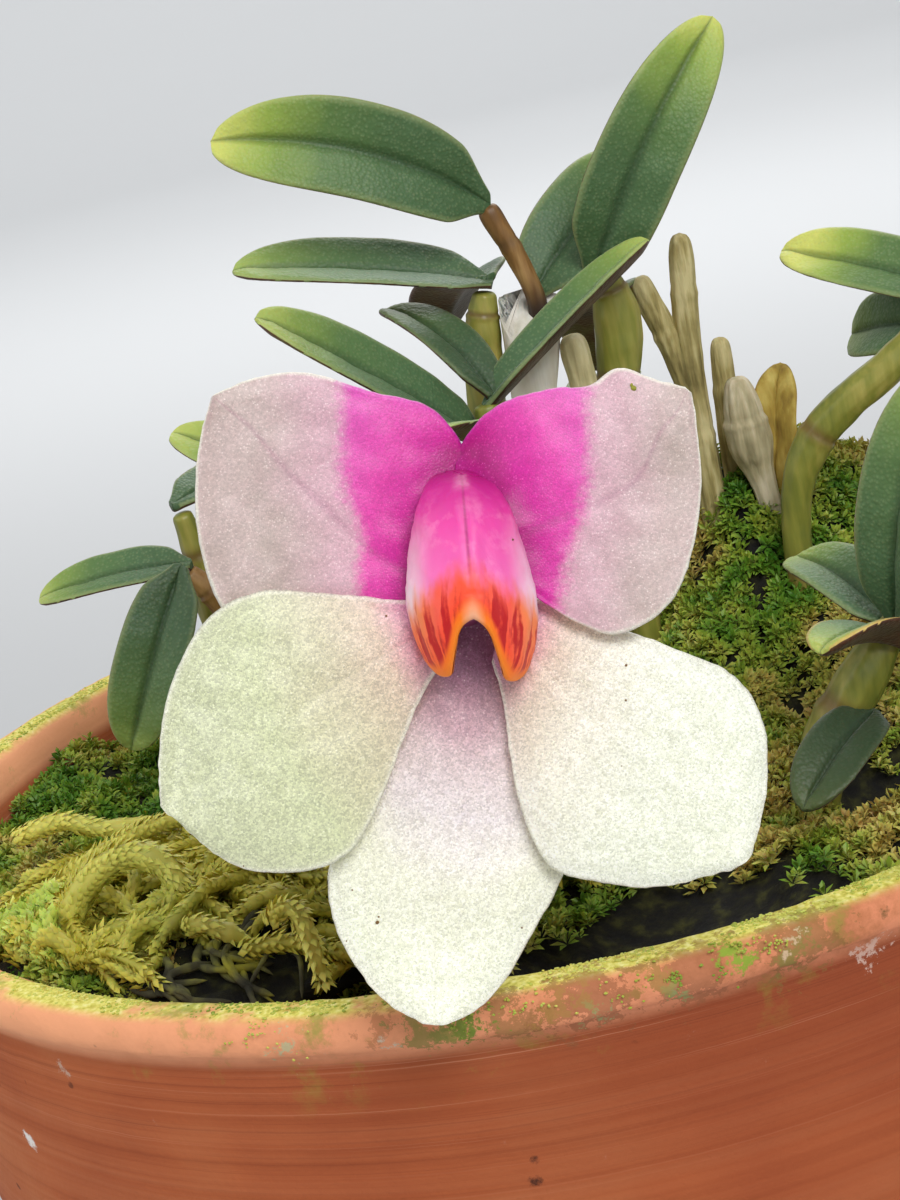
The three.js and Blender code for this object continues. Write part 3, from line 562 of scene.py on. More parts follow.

# Moss felt: the brown and olive mat of dead stems that shows between the shoots, painted near black as
# the shade that falls among them.
felt = mottled(
    "moss_felt", 900.0, 6.0, [(0.38, "#0A0906"), (0.52, "#191808"), (0.68, "#3A3A14")],
    relief=0.6 * MM, Roughness=0.95,
)
carpet = add_object("moss_felt", felt_mesh, felt)
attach(carpet, "root")
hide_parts("moss_carpet")


def moss_green(name, stops):
    """Thin moist leaves that pass some light, light at the tip and darkened towards their foot by painted
    shade.
    """
    material, add, place = patterned(name, Roughness=0.55, Subsurface_Weight=0.25, Subsurface_Scale=0.0006)
    patches = add("TexNoise", {"Vector": place, "Scale": 95.0, "Detail": 3.0})
    each = add("TexNoise", {"Vector": place, "Scale": 520.0})
    share = add("Mix", {"Factor": 0.3, "A": patches, "B": each})
    tone = add("ValToRGB", {"Fac": share}, stops=stops)
    tip = add("Attribute", out="Fac", attribute_name="tip")
    # Painted shade: the foot of each leaf is mixed towards a dark green.
    shade = add("MapRange", {"Value": tip, "To Min": 0.5, "To Max": 0.0})
    tone = add("Mix", {"Factor": shade, "A": tone, "B": "#1C240A"}, data_type="RGBA")
    finish(material, Base_Color=tone)
    return material


def leafy_shoot(name, whorls, length, width, lift):
    """A template shoot: whorls of pointed leaves, each of two faces folded along its middle."""
    bm = bmesh.new()
    tip = bm.verts.layers.float.new("tip")
    for level, (count, reach) in enumerate(whorls):
        for turn in range(count):
            angle = 2 * math.pi * (turn + 0.5 * level + 0.13 * turn % 0.3) / count
            rise = lift * (0.55 + 0.5 * level)
            along = Vector((math.cos(angle), math.sin(angle), 0))
            side = Vector((-math.sin(angle), math.cos(angle), 0)) * width / 2
            foot = Vector((0, 0, 0.25 * level)) + along * 0.08
            middle = foot + along * length * reach * 0.45 + Vector((0, 0, rise * 0.75))
            end = foot + along * length * reach + Vector((0, 0, rise))
            leaf = [bm.verts.new(spot) for spot in (foot, middle - side, end, middle + side)]
            for vert, share in zip(leaf, (0.0, 0.55, 1.0, 0.55)):
                vert[tip] = share
            bm.faces.new((leaf[0], leaf[1], leaf[2]))
            bm.faces.new((leaf[0], leaf[2], leaf[3]))
    return make_template(name, bm)


star_shoot = leafy_shoot("star_shoot", [(5, 1.0), (3, 0.6)], length=1.15, width=0.52, lift=0.75)
draw = random.Random(17)
spots = []
while len(spots) < SHOOTS:
    radius = (MOSS_EDGE - 0.4) * math.sqrt(draw.random())
    angle = 2 * math.pi * draw.random()
    x, y = radius * math.cos(angle), radius * math.sin(angle)
    bare = hollow_at(x, y)
    clump = noise.noise(Vector((x, y, 3)) * 0.3) + 0.4 * noise.noise(Vector((x, y, 5)) * 0.8)
    if draw.random() < max(1.3 * bare, -2.4 * clump - 0.5):
        continue
    ground = moss_height(x, y)
    slope = Vector((ground - moss_height(x + 1, y), ground - moss_height(x, y + 1), 1))
    lean = Vector((draw.gauss(0, 0.3), draw.gauss(0, 0.3), 0))
    upright = (slope.normalized() + lean).to_track_quat("Z", "Y").to_matrix().to_4x4()
    size = draw.uniform(0.5, 0.88)
    lift = draw.uniform(-0.35, 0.4) + 1.5 * clump
    spots.append(
        Matrix.Translation((x, y, ground + lift - 1.6 * bare)) @ upright
        @ Matrix.Rotation(draw.uniform(0, 2 * math.pi), 4, "Z") @ Matrix.Scale(size, 4)
    )
star_stops = [(0.34, "#3E7A14"), (0.42, "#6E9A24"), (0.5, "#A8B83C")]
star_stops += [(0.57, "#D2C460"), (0.64, "#CCA458"), (0.76, "#8E6430")]
star_green = moss_green("star_moss_leaf", star_stops)
for name, half in (("star_moss_one", spots[::2]), ("star_moss_two", spots[1::2])):
    star_mesh = bmesh.new()
    scatter_copies(star_mesh, star_shoot, half)
    stars = add_object(name, star_mesh, star_green, smooth=False)
    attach(stars, "root")
    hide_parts("moss_carpet")

# Creeping moss
# Olive feather moss at the front left. Its soft ropes of overlapping scale leaves curl over each other
# above a low pad, and lie loose between the flower's cane and the rim.
ROPES = 230
CREEP_RADIUS = 45.2
LEAF_STEP = 0.42
LEAF_LENGTH = 0.8
PAD_CENTRE = Vector((-26, -24, 68.6))
PAD_REACH = Vector((15.5, 13.0, 2.6))
LIME_CENTRE = Vector((-36.6, -23.0))
LIME_ROPES = 80
# Each clearing: its place, reach, and the share of ropes that it keeps out.
CLEARINGS = [(-29.8, -26.0, 2.6, 1.0), (-22.5, -34.5, 6.5, 0.9), (-14.0, -37.0, 6.0, 0.8)]
THREADS = 18
ROPE_UP = Vector((0.3, 0.2, 1))


def curve_at(points, share):
    """A smooth route through the points, with share from 0 at the first to 1 at the last."""
    place = min(max(share, 0.0), 1.0) * (len(points) - 1)
    low = min(int(place), len(points) - 2)
    w = place - low
    before, first = Vector(points[max(low - 1, 0)]), Vector(points[low])
    second, after = Vector(points[low + 1]), Vector(points[min(low + 2, len(points) - 1)])
    out, back = (second - before) / 2, (after - first) / 2
    return (
        first * (2 * w ** 3 - 3 * w ** 2 + 1) + second * (3 * w ** 2 - 2 * w ** 3)
        + out * (w ** 3 - 2 * w ** 2 + w) + back * (w ** 3 - w ** 2)
    )


def frame_at(points, share, up=Vector((0, -1, 0))):
    """The place on a route, its direction, and two directions across it."""
    along = (curve_at(points, share + 0.01) - curve_at(points, share - 0.01)).normalized()
    side = (up - along * up.dot(along)).normalized()
    return curve_at(points, share), along, side, along.cross(side)


def ring_point(section, turn, radius):
    """A point round a place on a route, as frame_at gives it."""
    centre, along, side, other = section
    return centre + (side * math.cos(turn) + other * math.sin(turn)) * radius


def grow(bm, skin_at, around, along, marks=()):
    """A closed skin from a ball: skin_at(u, turn) places each point, u from 0 at its foot to 1 at its tip.
    Where there are marks, it gives their values too, and the points keep them as attributes."""
    layers = [bm.verts.layers.float.get(name) or bm.verts.layers.float.new(name) for name in marks]
    ball = bmesh.new()
    bmesh.ops.create_uvsphere(ball, u_segments=around, v_segments=along, radius=1)
    ball.verts.index_update()
    skin = []
    for vert in ball.verts:
        u = math.acos(min(max(-vert.co.z, -1), 1)) / math.pi
        point = skin_at(u, math.atan2(vert.co.y, vert.co.x))
        spot, values = point if marks else (point, ())
        skin.append(bm.verts.new(spot))
        for layer, value in zip(layers, values):
            skin[-1][layer] = value
    for face in ball.faces:
        bm.faces.new([skin[vert.index] for vert in face.verts])
    ball.free()
    return skin


def route_length(route):
    return sum((Vector(after) - Vector(before)).length for before, after in zip(route, route[1:]))


def scale_leaf(name):
    """A small pointed moss leaf along +X, folded a little along its middle."""
    bm = bmesh.new()
    tip = bm.verts.layers.float.new("tip")
    spots = [(0, 0, -0.02), (0.42, -0.3, -0.05), (0.45, 0, 0.1), (0.42, 0.3, -0.05), (1, 0, 0.03)]
    foot, left, middle, right, end = (bm.verts.new(spot) for spot in spots)
    for vert, share in ((foot, 0.1), (left, 0.6), (middle, 0.75), (right, 0.6), (end, 1.0)):
        vert[tip] = share
    for corners in ((foot, left, middle), (foot, middle, right), (left, end, middle), (middle, end, right)):
        bm.faces.new(corners)
    return make_template(name, bm)


def rope_leaves(route, thick, draw):
    """Places for small leaves that overlap in a spiral up a rope of moss."""
    rows = max(int(route_length(route) / LEAF_STEP), 2)
    sides = max(int(math.pi * thick * 0.75 / 0.42), 4)
    spread = draw.uniform(0.15, 0.5)
    for row in range(rows):
        centre, along, side, other = frame_at(route, row / rows, ROPE_UP)
        radius = 0.36 * thick * (1 - 0.6 * (row / rows) ** 3)
        for turn in range(sides):
            angle = 2 * math.pi * (turn / sides + 0.38 * row) + draw.uniform(-0.4, 0.4)
            out = ring_point((Vector(), along, side, other), angle, 1)
            way = (along + out * (spread + draw.uniform(-0.15, 0.35))).normalized()
            across = out.cross(way).normalized()
            basis = Matrix((way, across, way.cross(across))).transposed().to_4x4()
            size = LEAF_LENGTH * draw.uniform(0.75, 1.15)
            yield Matrix.Translation(centre + out * radius * 0.95) @ basis @ Matrix.Scale(size, 4)


def creep_ground(x, y):
    """The top of the pad, or of the carpet where that is higher."""
    away = ((x - PAD_CENTRE.x) / PAD_REACH.x) ** 2 + ((y - PAD_CENTRE.y) / PAD_REACH.y) ** 2
    return max(moss_height(x, y), PAD_CENTRE.z + PAD_REACH.z * math.sqrt(max(1 - away, 0)))


def lay_route(x, y, turn, reach, swirl, lifts):
    """A winding route over the ground, centred on (x, y), with a height above it for each of its points."""
    route = []
    for step, lift in enumerate(lifts):
        share = step / (len(lifts) - 1) - 0.5
        bend = turn + swirl * share
        spot = Vector((x + reach * share * math.cos(bend), y + reach * share * math.sin(bend), 0))
        if spot.length > CREEP_RADIUS - 1.2:
            spot *= (CREEP_RADIUS - 1.2) / spot.length
        route.append((spot.x, spot.y, creep_ground(spot.x, spot.y) + lift))
    return route


draw = random.Random(21)
ropes = []
while len(ropes) < ROPES:
    spread, turn = math.sqrt(draw.random()), draw.uniform(0, 2 * math.pi)
    x, y = PAD_CENTRE.x + 3 + 20 * spread * math.cos(turn), PAD_CENTRE.y + 3 + 16 * spread * math.sin(turn)
    rise = draw.uniform(-0.3, 1.7) * (1 - 0.5 * spread)
    lifts = [rise + 1.2 * math.sin(math.pi * step / 4) + draw.uniform(-0.3, 0.4) for step in range(5)]
    route = lay_route(x, y, draw.uniform(0, 2 * math.pi), draw.uniform(5, 12), draw.uniform(-2.6, 2.6), lifts)
    kept = all(math.hypot(x - cx, y - cy) > wide or draw.random() > odds for cx, cy, wide, odds in CLEARINGS)
    if kept and math.hypot(x, y) < CREEP_RADIUS and hollow_at(x, y) < 0.8:
        ropes.append((route, draw.uniform(0.8, 1.6)))
sunlit_ropes = [
    (
        [(-33.8, -25, 70), (-33.6, -25, 71.4), (-32.5, -25, 73.9), (-30.6, -25, 75.6), (-28.2, -25, 76.2),
         (-26.3, -25.2, 75), (-26, -25.8, 73), (-28.2, -26.6, 71.4), (-30.4, -27.2, 70.4)], 2.5,
    ),
    (
        [(-19.6, -35.8, 73.6), (-18.8, -35.8, 74.5), (-17.9, -36, 74.2), (-17.5, -36.4, 72),
         (-17.3, -36.6, 69.4)], 1.5,
    ),
    ([(-25.2, -31.6, 73), (-24.3, -32, 73.3), (-22.9, -32, 72.5), (-21.4, -32, 71.2)], 1.5),
    ([(-38.8, -8, 73.2), (-35.2, -8, 73.7), (-32, -8, 72.4), (-27, -8, 71.9)], 1.7),
    ([(-36, -14, 71), (-31, -13.4, 73), (-26, -14, 74), (-21, -13, 73.4)], 1.6),
]
lime_ropes = []
for _ in range(LIME_ROPES):
    lifts = [draw.uniform(0.3, 0.8), draw.uniform(1.2, 2.4), draw.uniform(0.8, 1.8)]
    x, y = draw.gauss(LIME_CENTRE.x, 2.0), draw.gauss(LIME_CENTRE.y, 4.0)
    route = lay_route(x, y, draw.uniform(0, 2 * math.pi), draw.uniform(2.5, 5), draw.uniform(-2, 2), lifts)
    lime_ropes.append((route, draw.uniform(0.7, 1.2)))

moss_leaf = scale_leaf("moss_scale")
olive_stops = [(0.34, "#8A962A"), (0.43, "#C2B838"), (0.52, "#E6DA58"), (0.61, "#C4C44A"), (0.74, "#94703A")]
# Painted light: the sunlit ropes take a brighter copy of the olive colour.
sunlit_stops = [(0.34, "#BEB63C"), (0.5, "#F6EC70"), (0.66, "#DCD860")]
lime_stops = [(0.32, "#A4BE3C"), (0.45, "#CCDE5A"), (0.56, "#ECF07C"), (0.68, "#BECC54")]
creeping = []
for name, group, stops in (
    ("feather_moss", ropes, olive_stops), ("sunlit_moss", sunlit_ropes, sunlit_stops),
    ("lime_moss", lime_ropes, lime_stops),
):
    green = moss_green(name + "_leaf", stops)
    core_mesh, leaves_mesh = bmesh.new(), bmesh.new()
    for route, thick in group:
        def rope_skin(u, turn):
            section = frame_at(route, u, ROPE_UP)
            radius = 0.37 * thick * min(1, 6 * u, 6 * (1 - u)) * (1 + 0.3 * noise.noise(section[0] * 1.7))
            return ring_point(section, turn, radius), (0.45,)
        grow(core_mesh, rope_skin, 7, 18, ("tip",))
        scatter_copies(leaves_mesh, moss_leaf, rope_leaves(route, thick, draw))
    creeping += [add_object(name + "_core", core_mesh, green), add_object(name, leaves_mesh, green)]

# The pad under the ropes is the same felt, painted dark as shade, as under the star moss, and bare grey stems
# lie on it.
pad_mesh = bmesh.new()
for vert in bmesh.ops.create_icosphere(pad_mesh, subdivisions=5, radius=1)["verts"]:
    vert.co = vert.co * PAD_REACH + PAD_CENTRE
    vert.co.z += 1.1 * noise.fractal(vert.co * 0.5, 1.0, 2.0, 4) - 0.4
    if vert.co.xy.length > CREEP_RADIUS - 0.5:
        vert.co.xy *= (CREEP_RADIUS - 0.5) / vert.co.xy.length
creeping.append(add_object("feather_moss_pad", pad_mesh, felt))
thread_mesh = bmesh.new()
for _ in range(THREADS):
    lifts = [draw.uniform(0.0, 0.4), draw.uniform(0.3, 1.3), draw.uniform(0.3, 1.2), draw.uniform(-0.2, 0.3)]
    x, y = draw.gauss(-23.0, 3.8), draw.gauss(-33.0, 2.6)
    route = lay_route(x, y, draw.uniform(-2.4, -0.6), draw.uniform(5, 9), draw.uniform(-2.2, 2.2), lifts)
    thick = draw.uniform(0.2, 0.36)

    def thread_skin(u, turn):
        section = frame_at(route, u, ROPE_UP)
        lumps = 1 + 0.3 * noise.noise(section[0] * 2.5)
        radius = thick * (1 - 0.3 * u) * min(1, 8 * u, 8 * (1 - u)) * lumps
        return ring_point(section, turn, radius)
    grow(thread_mesh, thread_skin, 7, 22)

# Bare moss stems: dark olive-grey, with lighter green remains.
bare = mottled(
    "bare_moss_stem", 420.0, 4.0,
    [(0.34, "#26261A"), (0.47, "#48462E"), (0.56, "#6E6E38"), (0.66, "#9A962E")], Roughness=0.9,
)
creeping.append(add_object("bare_moss_stems", thread_mesh, bare))
for piece in creeping:
    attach(piece, "root")
    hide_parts("creeping_moss")

# Canes and bulbs
# Each growth is a swollen green pseudobulb or a thin brown cane that stands in the moss. Rings mark its
# nodes, where dry bracts have torn away, and fine ridges run up it. Leaves join it at the top.
ROOT_LEVEL = 66
# Each cane: its route from the root up, and its radii from end to end.
CANES = {
    "tall_cane": (
        [(3.6, 6.5, ROOT_LEVEL), (4, 7, 80), (5, 8, 93), (6.6, 8, 99.5), (4.4, 8, 107.2)],
        [0.9, 1, 0.9, 0.72, 0.85],
    ),
    "rear_left_bulb": (
        [(-0.5, 9.5, ROOT_LEVEL), (0.4, 9.3, 84), (1.8, 8.8, 96), (3, 8.4, 101)], [1, 1.3, 1.5, 0.9],
    ),
    "rear_right_bulb": (
        [(9.4, 9, ROOT_LEVEL), (10.3, 9, 86), (12.2, 8.8, 96), (11.8, 8.3, 100.6)], [1, 1.4, 1.8, 1],
    ),
    "centre_cane": (
        [(1.2, 1.5, ROOT_LEVEL), (1.4, 1.6, 80), (1.2, 1.8, 89), (1, 2, 94)], [0.9, 1.1, 1.2, 0.9],
    ),
    "flowering_cane": (
        [(-2.5, -17, ROOT_LEVEL), (-2.3, -18, 78), (-2.4, -20, 86), (-2.6, -21.8, 90.4)],
        [0.9, 1.1, 1.1, 0.8],
    ),
    "left_cane": (
        [(-19.4, 7, ROOT_LEVEL), (-20, 7, 76), (-21.6, 6.6, 82.8), (-23.5, 6.3, 85.8)], [0.8, 0.9, 1, 0.8],
    ),
    "left_bulb": ([(-21.6, 12, ROOT_LEVEL), (-22.4, 11.5, 80), (-23.2, 10.6, 89.5)], [0.9, 1.5, 0.8]),
    "right_cane": (
        [(21.4, 4.4, ROOT_LEVEL), (21.8, 4.2, 79), (24.4, 3.7, 85.4), (30.6, 2.6, 89.8), (35.4, 2.2, 92.8)],
        [0.9, 1.1, 1.4, 1.3, 0.9],
    ),
    "front_right_bulb": (
        [(15.6, -22.6, ROOT_LEVEL), (16.6, -23.4, 71.5), (19.5, -24, 75.8), (22.6, -24, 79.4)],
        [0.9, 1.7, 1.6, 0.9],
    ),
    "back_left_cane": ([(-10, 26, ROOT_LEVEL), (-10.2, 26, 76), (-11, 25.4, 85)], [0.9, 1.2, 0.9]),
    "back_right_cane": ([(11, 33, ROOT_LEVEL), (10.8, 33, 76), (10.4, 32.6, 83)], [0.9, 1.2, 0.9]),
}
BROWN_CANES = ("tall_cane", "left_cane")
NODE_SPACING = 9.0
SHEATH_SHADE_LEVEL = 98.6
CANE_GRID = (28, 110)


def between(values, share):
    place = min(max(share, 0.0), 1.0) * (len(values) - 1)
    low = min(int(place), len(values) - 2)
    return blend(values[low], values[low + 1], smooth(place - low))


def cane_skin(route, radii, ridge=0.035, seed=0.0, ends=40):
    """A cane with raised node rings and fine ridges, rounded off at both ends."""
    nodes = max(int(route_length(route) / NODE_SPACING), 1)

    def skin_at(u, turn):
        section = frame_at(route, u)
        place = (u * nodes) % 1.0
        ring = 0.07 * math.exp(-((place - 0.5) / 0.03) ** 2) - 0.04 * math.exp(-((place - 0.56) / 0.025) ** 2)
        grain = noise.noise(section[0] * 0.7 + Vector((math.cos(turn), math.sin(turn), seed)))
        ridges = ridge * math.sin(9 * turn + 2 * u) + 0.06 * grain
        radius = between(radii, u) * (1 + ring + ridges) * math.sqrt(max(1 - (2 * u - 1) ** ends, 0))
        return ring_point(section, turn, radius)
    return skin_at


def cane_material(name, stops, scar_and_shade_tone, **surface):
    """Waxy stem skin: tone runs in streaks along the cane, darker in the scars at its nodes and in any
    painted shade marked on it.
    """
    material, add, place = patterned(name, **surface)
    stretched = add("Mapping", {"Vector": place, "Scale": (1400, 1400, 160)})
    streaks = add("TexNoise", {"Vector": stretched, "Scale": 1.0, "Detail": 4.0})
    clouds = add("TexNoise", {"Vector": place, "Scale": 160.0, "Detail": 3.0})
    share = add("Mix", {"Factor": 0.55, "A": streaks, "B": clouds})
    tone = add("ValToRGB", {"Fac": share}, stops=stops)
    scar_and_shade = add("Attribute", out="Fac", attribute_name="scar_and_shade")
    tone = add("Mix", {"Factor": scar_and_shade, "A": tone, "B": scar_and_shade_tone}, data_type="RGBA")
    skin = add("Bump", {"Height": streaks, "Strength": 0.5, "Distance": 0.00012})
    finish(material, Base_Color=tone, Normal=skin)
    return material


green_skin = cane_material(
    "green_pseudobulb", [(0.34, "#646E2A"), (0.5, "#8A8C3A"), (0.66, "#AEA454")], "#75622F",
    Roughness=0.42, Subsurface_Weight=0.15, Subsurface_Scale=0.001,
)
brown_skin = cane_material(
    "ripened_cane", [(0.34, "#523518"), (0.5, "#866030"), (0.64, "#B8925C")], "#2A190E",
    Roughness=0.5, Subsurface_Weight=0.08, Subsurface_Scale=0.001,
)
for index, (name, (route, radii)) in enumerate(CANES.items()):
    nodes = max(int(route_length(route) / NODE_SPACING), 1)
    plain_skin = cane_skin(route, radii, seed=index * 3.7)
    brown = name in BROWN_CANES

    def scarred_and_shaded_skin(u, turn):
        spot = plain_skin(u, turn)
        # Painted shade: a dark band round the tall cane where it sinks into the mouth of the sheath.
        stain = math.exp(-((spot.z - SHEATH_SHADE_LEVEL) / 2.0) ** 2) if name == "tall_cane" else 0
        ring = math.exp(-(((u * nodes) % 1.0 - 0.55) / 0.05) ** 2) * (0.35 if brown else 1)
        return spot, (max(ring, stain),)
    bm = bmesh.new()
    grow(bm, scarred_and_shaded_skin, *CANE_GRID, ("scar_and_shade",))
    cane = add_object("skin_" + name, bm, brown_skin if brown else green_skin)
    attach(cane, "root")
    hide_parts(name)

# Leaves
# Thick leathery leaves in pairs at the top of each cane. The upper face is rough with glassy warts and
# has a groove along its middle, the underside is flushed dark purple, and young tips are yellow-green.
LEAF_HALF = 0.36
LEAF_WIDEST = 0.5
WART_SIZE = 0.27
LEAF_OVERLAP = 1.8
LEAF_GRID = (56, 84)
# The golden colour of painted glints along the margin of the level leaf.
GOLDEN_GLINT_EDGE = "#E0BC6C"
# Each leaf: the foot and tip of its middle line, its width, the way it faces, and what sets it apart.
# A value below zero in a leaf's youth setting darkens it with painted shade, for a leaf that stands in shade.
LEAVES = {
    "tall_leaf": ((3.1, 7.9, 108), (-13.9, 6, 116.4), 7.4, (0.1, -1, 0.1), dict(sweep=-0.075, youth_and_shade=0.8)),
    "inner_leaf": ((7.6, 10, 100.4), (17.8, 17.5, 106.8), 7.4, (-0.3, -1, 0.5), dict(youth_and_shade=0.35)),
    "shaded_leaf": ((2, 8.4, 101.9), (-14.8, 8, 106.7), 6.6, (-0.1, -0.45, 1), dict(arch=0.03, youth_and_shade=0.1)),
    "rear_left_leaf": ((3, 9.8, 101.2), (-0.5, 23, 96), 7, (0, 0, 1), {}),
    "upright_leaf": (
        (12.1, 8.2, 101.7), (23.4, 8, 116.7), 7, (0.1, -1, 0.1), dict(widest=0.4, sweep=0.05, youth_and_shade=0.85),
    ),
    "back_leaf": ((12.4, 10.6, 97.5), (11.5, 25, 90), 6.6, (0, -0.1, 1), {}),
    "narrow_leaf": (
        (2.4, 2.2, 94.5), (15.2, 3.8, 102.6), 4.8, (-0.75, -0.38, 1), dict(arch=0.01, fold=34, youth_and_shade=0.3),
    ),
    "left_leaf": ((-0.7, 1.9, 92), (-13.4, -4, 104.7), 6.4, (0.4, -0.55, 0.9), dict(arch=0.02, youth_and_shade=0.3)),
    "dark_leaf": ((0.8, 3.2, 95.2), (-4.6, 10.5, 101), 5, (0.2, -0.2, 1), dict(youth_and_shade=-0.2)),
    "low_leaf": ((1.4, 0, 88.6), (-4.4, -12, 95.6), 6.4, (0, -0.3, 1), {}),
    "far_left_leaf": (
        (-3.9, -21.2, 90.4), (-20.2, -12, 99.6), 5.8, (0.3, -0.8, 1), dict(arch=0.02, youth_and_shade=0.5),
    ),
    "hidden_left_leaf": ((-3.6, -21.4, 88), (-17, -25, 82.5), 6.6, (-0.4, -0.4, 1), {}),
    "hidden_right_leaf": ((-1.1, -20.4, 88), (11, -17, 85), 6.6, (0.3, -0.4, 1), {}),
    "left_tip_leaf": ((-24.7, 6.8, 86.2), (-35.2, 9, 85.7), 4.6, (0, -0.5, 1), dict(arch=0.05, youth_and_shade=0.4)),
    "hanging_leaf": (
        (-24.5, 5.1, 85.2), (-30.7, 3.6, 74.1), 5.8, (-0.25, -1, 0), dict(arch=0.08, youth_and_shade=-0.1),
    ),
    "left_back_leaf": ((-22.4, 11.6, 90), (-12, 21, 89.5), 6, (0, -0.3, 1), dict(arch=0.04)),
    "right_top_leaf": ((36, 3.4, 94), (25.6, 10.5, 98.4), 6, (-0.2, -0.7, 1), dict(arch=0.03, youth_and_shade=0.9)),
    "right_low_leaf": ((34.9, 4.2, 91.4), (30.4, 13.5, 90.2), 5.6, (-0.5, -0.8, 0.6), dict(youth_and_shade=0.2)),
    "outer_leaf": ((36.2, 1.7, 93.3), (46, -8, 97), 7, (-0.3, 0.3, 1), dict(youth_and_shade=0.5)),
    "edge_leaf": ((23.1, -24.9, 80.5), (27.4, -28.2, 96), 6.0, (-0.85, -0.55, 0), dict(youth_and_shade=0.1)),
    "level_leaf": ((21.8, -26, 78.2), (16.6, -29.5, 80.2), 6.4, (0.2, 0.3, 1), dict(arch=0.12, youth_and_shade=0.45)),
    "inner_right_leaf": ((21.8, -22.3, 79.4), (18.4, -14.5, 82), 5.4, (0, -0.3, 1), {}),
    "low_right_leaf": ((18.8, -26.1, 73.4), (13.4, -31.5, 71.2), 4.6, (0.1, -0.5, 1), dict(youth_and_shade=-0.4)),
    "far_right_leaf": ((23.9, -23.6, 79.8), (37, -19, 86), 7, (-0.3, -0.2, 1), {}),
    "back_left_leaf_a": ((-12.3, 26.1, 83.6), (-19, 35, 91), 6.4, (0, 0.1, 1), {}),
    "back_left_leaf_b": ((-10, 26.3, 86), (-2, 33.5, 90), 6.4, (-0.2, -0.3, 1), {}),
    "back_right_leaf_a": ((10.7, 33.8, 83.9), (15, 45, 84.5), 6.4, (0, -0.3, 1), {}),
    "back_right_leaf_b": ((9.5, 31.6, 83.8), (1, 24, 88), 6, (-0.2, -0.2, 1), {}),
}


def leaf_outline(u, widest):
    reach = widest + 0.03 if u < widest else 1.002 - widest
    share = max(1 - abs((u - widest) / reach) ** 2.6, 0.0) ** 0.5
    return share * blend(0.55, 1.0, smooth(u / 0.16))


def leaf_middle(base, tip, width, face, arch=0.1, fold=20, widest=LEAF_WIDEST, sweep=0.0):
    """The leaf's middle surface by u from base to tip and v from -1 to 1 across, and its upward direction."""
    direction = (Vector(tip) - Vector(base)).normalized()
    start = Vector(base) - direction * LEAF_OVERLAP
    axis = Vector(tip) - start
    length = axis.length
    normal = (Vector(face) - direction * Vector(face).dot(direction)).normalized()
    side = normal.cross(direction)
    lift, spread = math.sin(math.radians(fold)), math.cos(math.radians(fold))

    def surface(u, v):
        half = width / 2 * leaf_outline(u, widest)
        bowl = arch * length * 4 * u * (1 - u)
        cup = half * (math.sqrt(v * v + 0.012) - 0.11) * lift
        across = half * v * spread + sweep * length * 4 * u * (1 - u)
        return start + axis * u + normal * (bowl + cup) + side * across
    return surface, normal


def warts(where, size):
    """A rounded bump for each wart, from 0 between them to 1 on top."""
    near = noise.voronoi(where / size)[0][0]
    return max(1 - near * near * 1.9, 0.0)


def side_and_across(turn, rounded):
    """The way round a flat skin as its side, 1 above and -1 below, and its place from -1 to 1 across."""
    return 1 if turn > 0 else -1, blend(1 - 2 * abs(turn) / math.pi, math.cos(turn), rounded)


def leaf_mesh(middle, around, along):
    """A closed leaf with thin margins, a groove above, a keel below and warts on its upper face."""
    surface, up = middle

    def skin_at(u, turn):
        u = (1 - math.cos(math.pi * u)) / 2
        over, v = side_and_across(turn, 0.45)
        v *= min(1, 90 * u * (1 - u) + 0.05)
        place = surface(u, v)
        step_u = surface(min(u + 0.01, 1), v) - surface(max(u - 0.01, 0), v)
        step_v = surface(u, v + 0.02) - surface(u, v - 0.02)
        normal = step_v.cross(step_u)
        normal = normal.normalized() if normal.length > 1e-9 else up.copy()
        if normal.dot(up) < 0:
            normal.negate()
        thick = LEAF_HALF * (1 - abs(v) ** 2.6) ** 0.5 * min(1, math.sqrt(14 * (1 - u)) + 0.1)
        groove = 0.28 * math.exp(-(v / 0.11) ** 2) * smooth(u / 0.1) * smooth((1 - u) / 0.15)
        if over > 0:
            bump = warts(place, WART_SIZE) * smooth((1 - abs(v)) / 0.12) * smooth(u / 0.06)
            rise = thick - groove + 0.05 * bump + 0.12 * noise.noise(place * 0.45)
        else:
            rise = -thick - 0.6 * groove + 0.02 * noise.noise(place * 2.0)
        return place + normal * rise, (u, v, over)
    bm = bmesh.new()
    grow(bm, skin_at, around, along, ("along", "across", "upper"))
    return bm


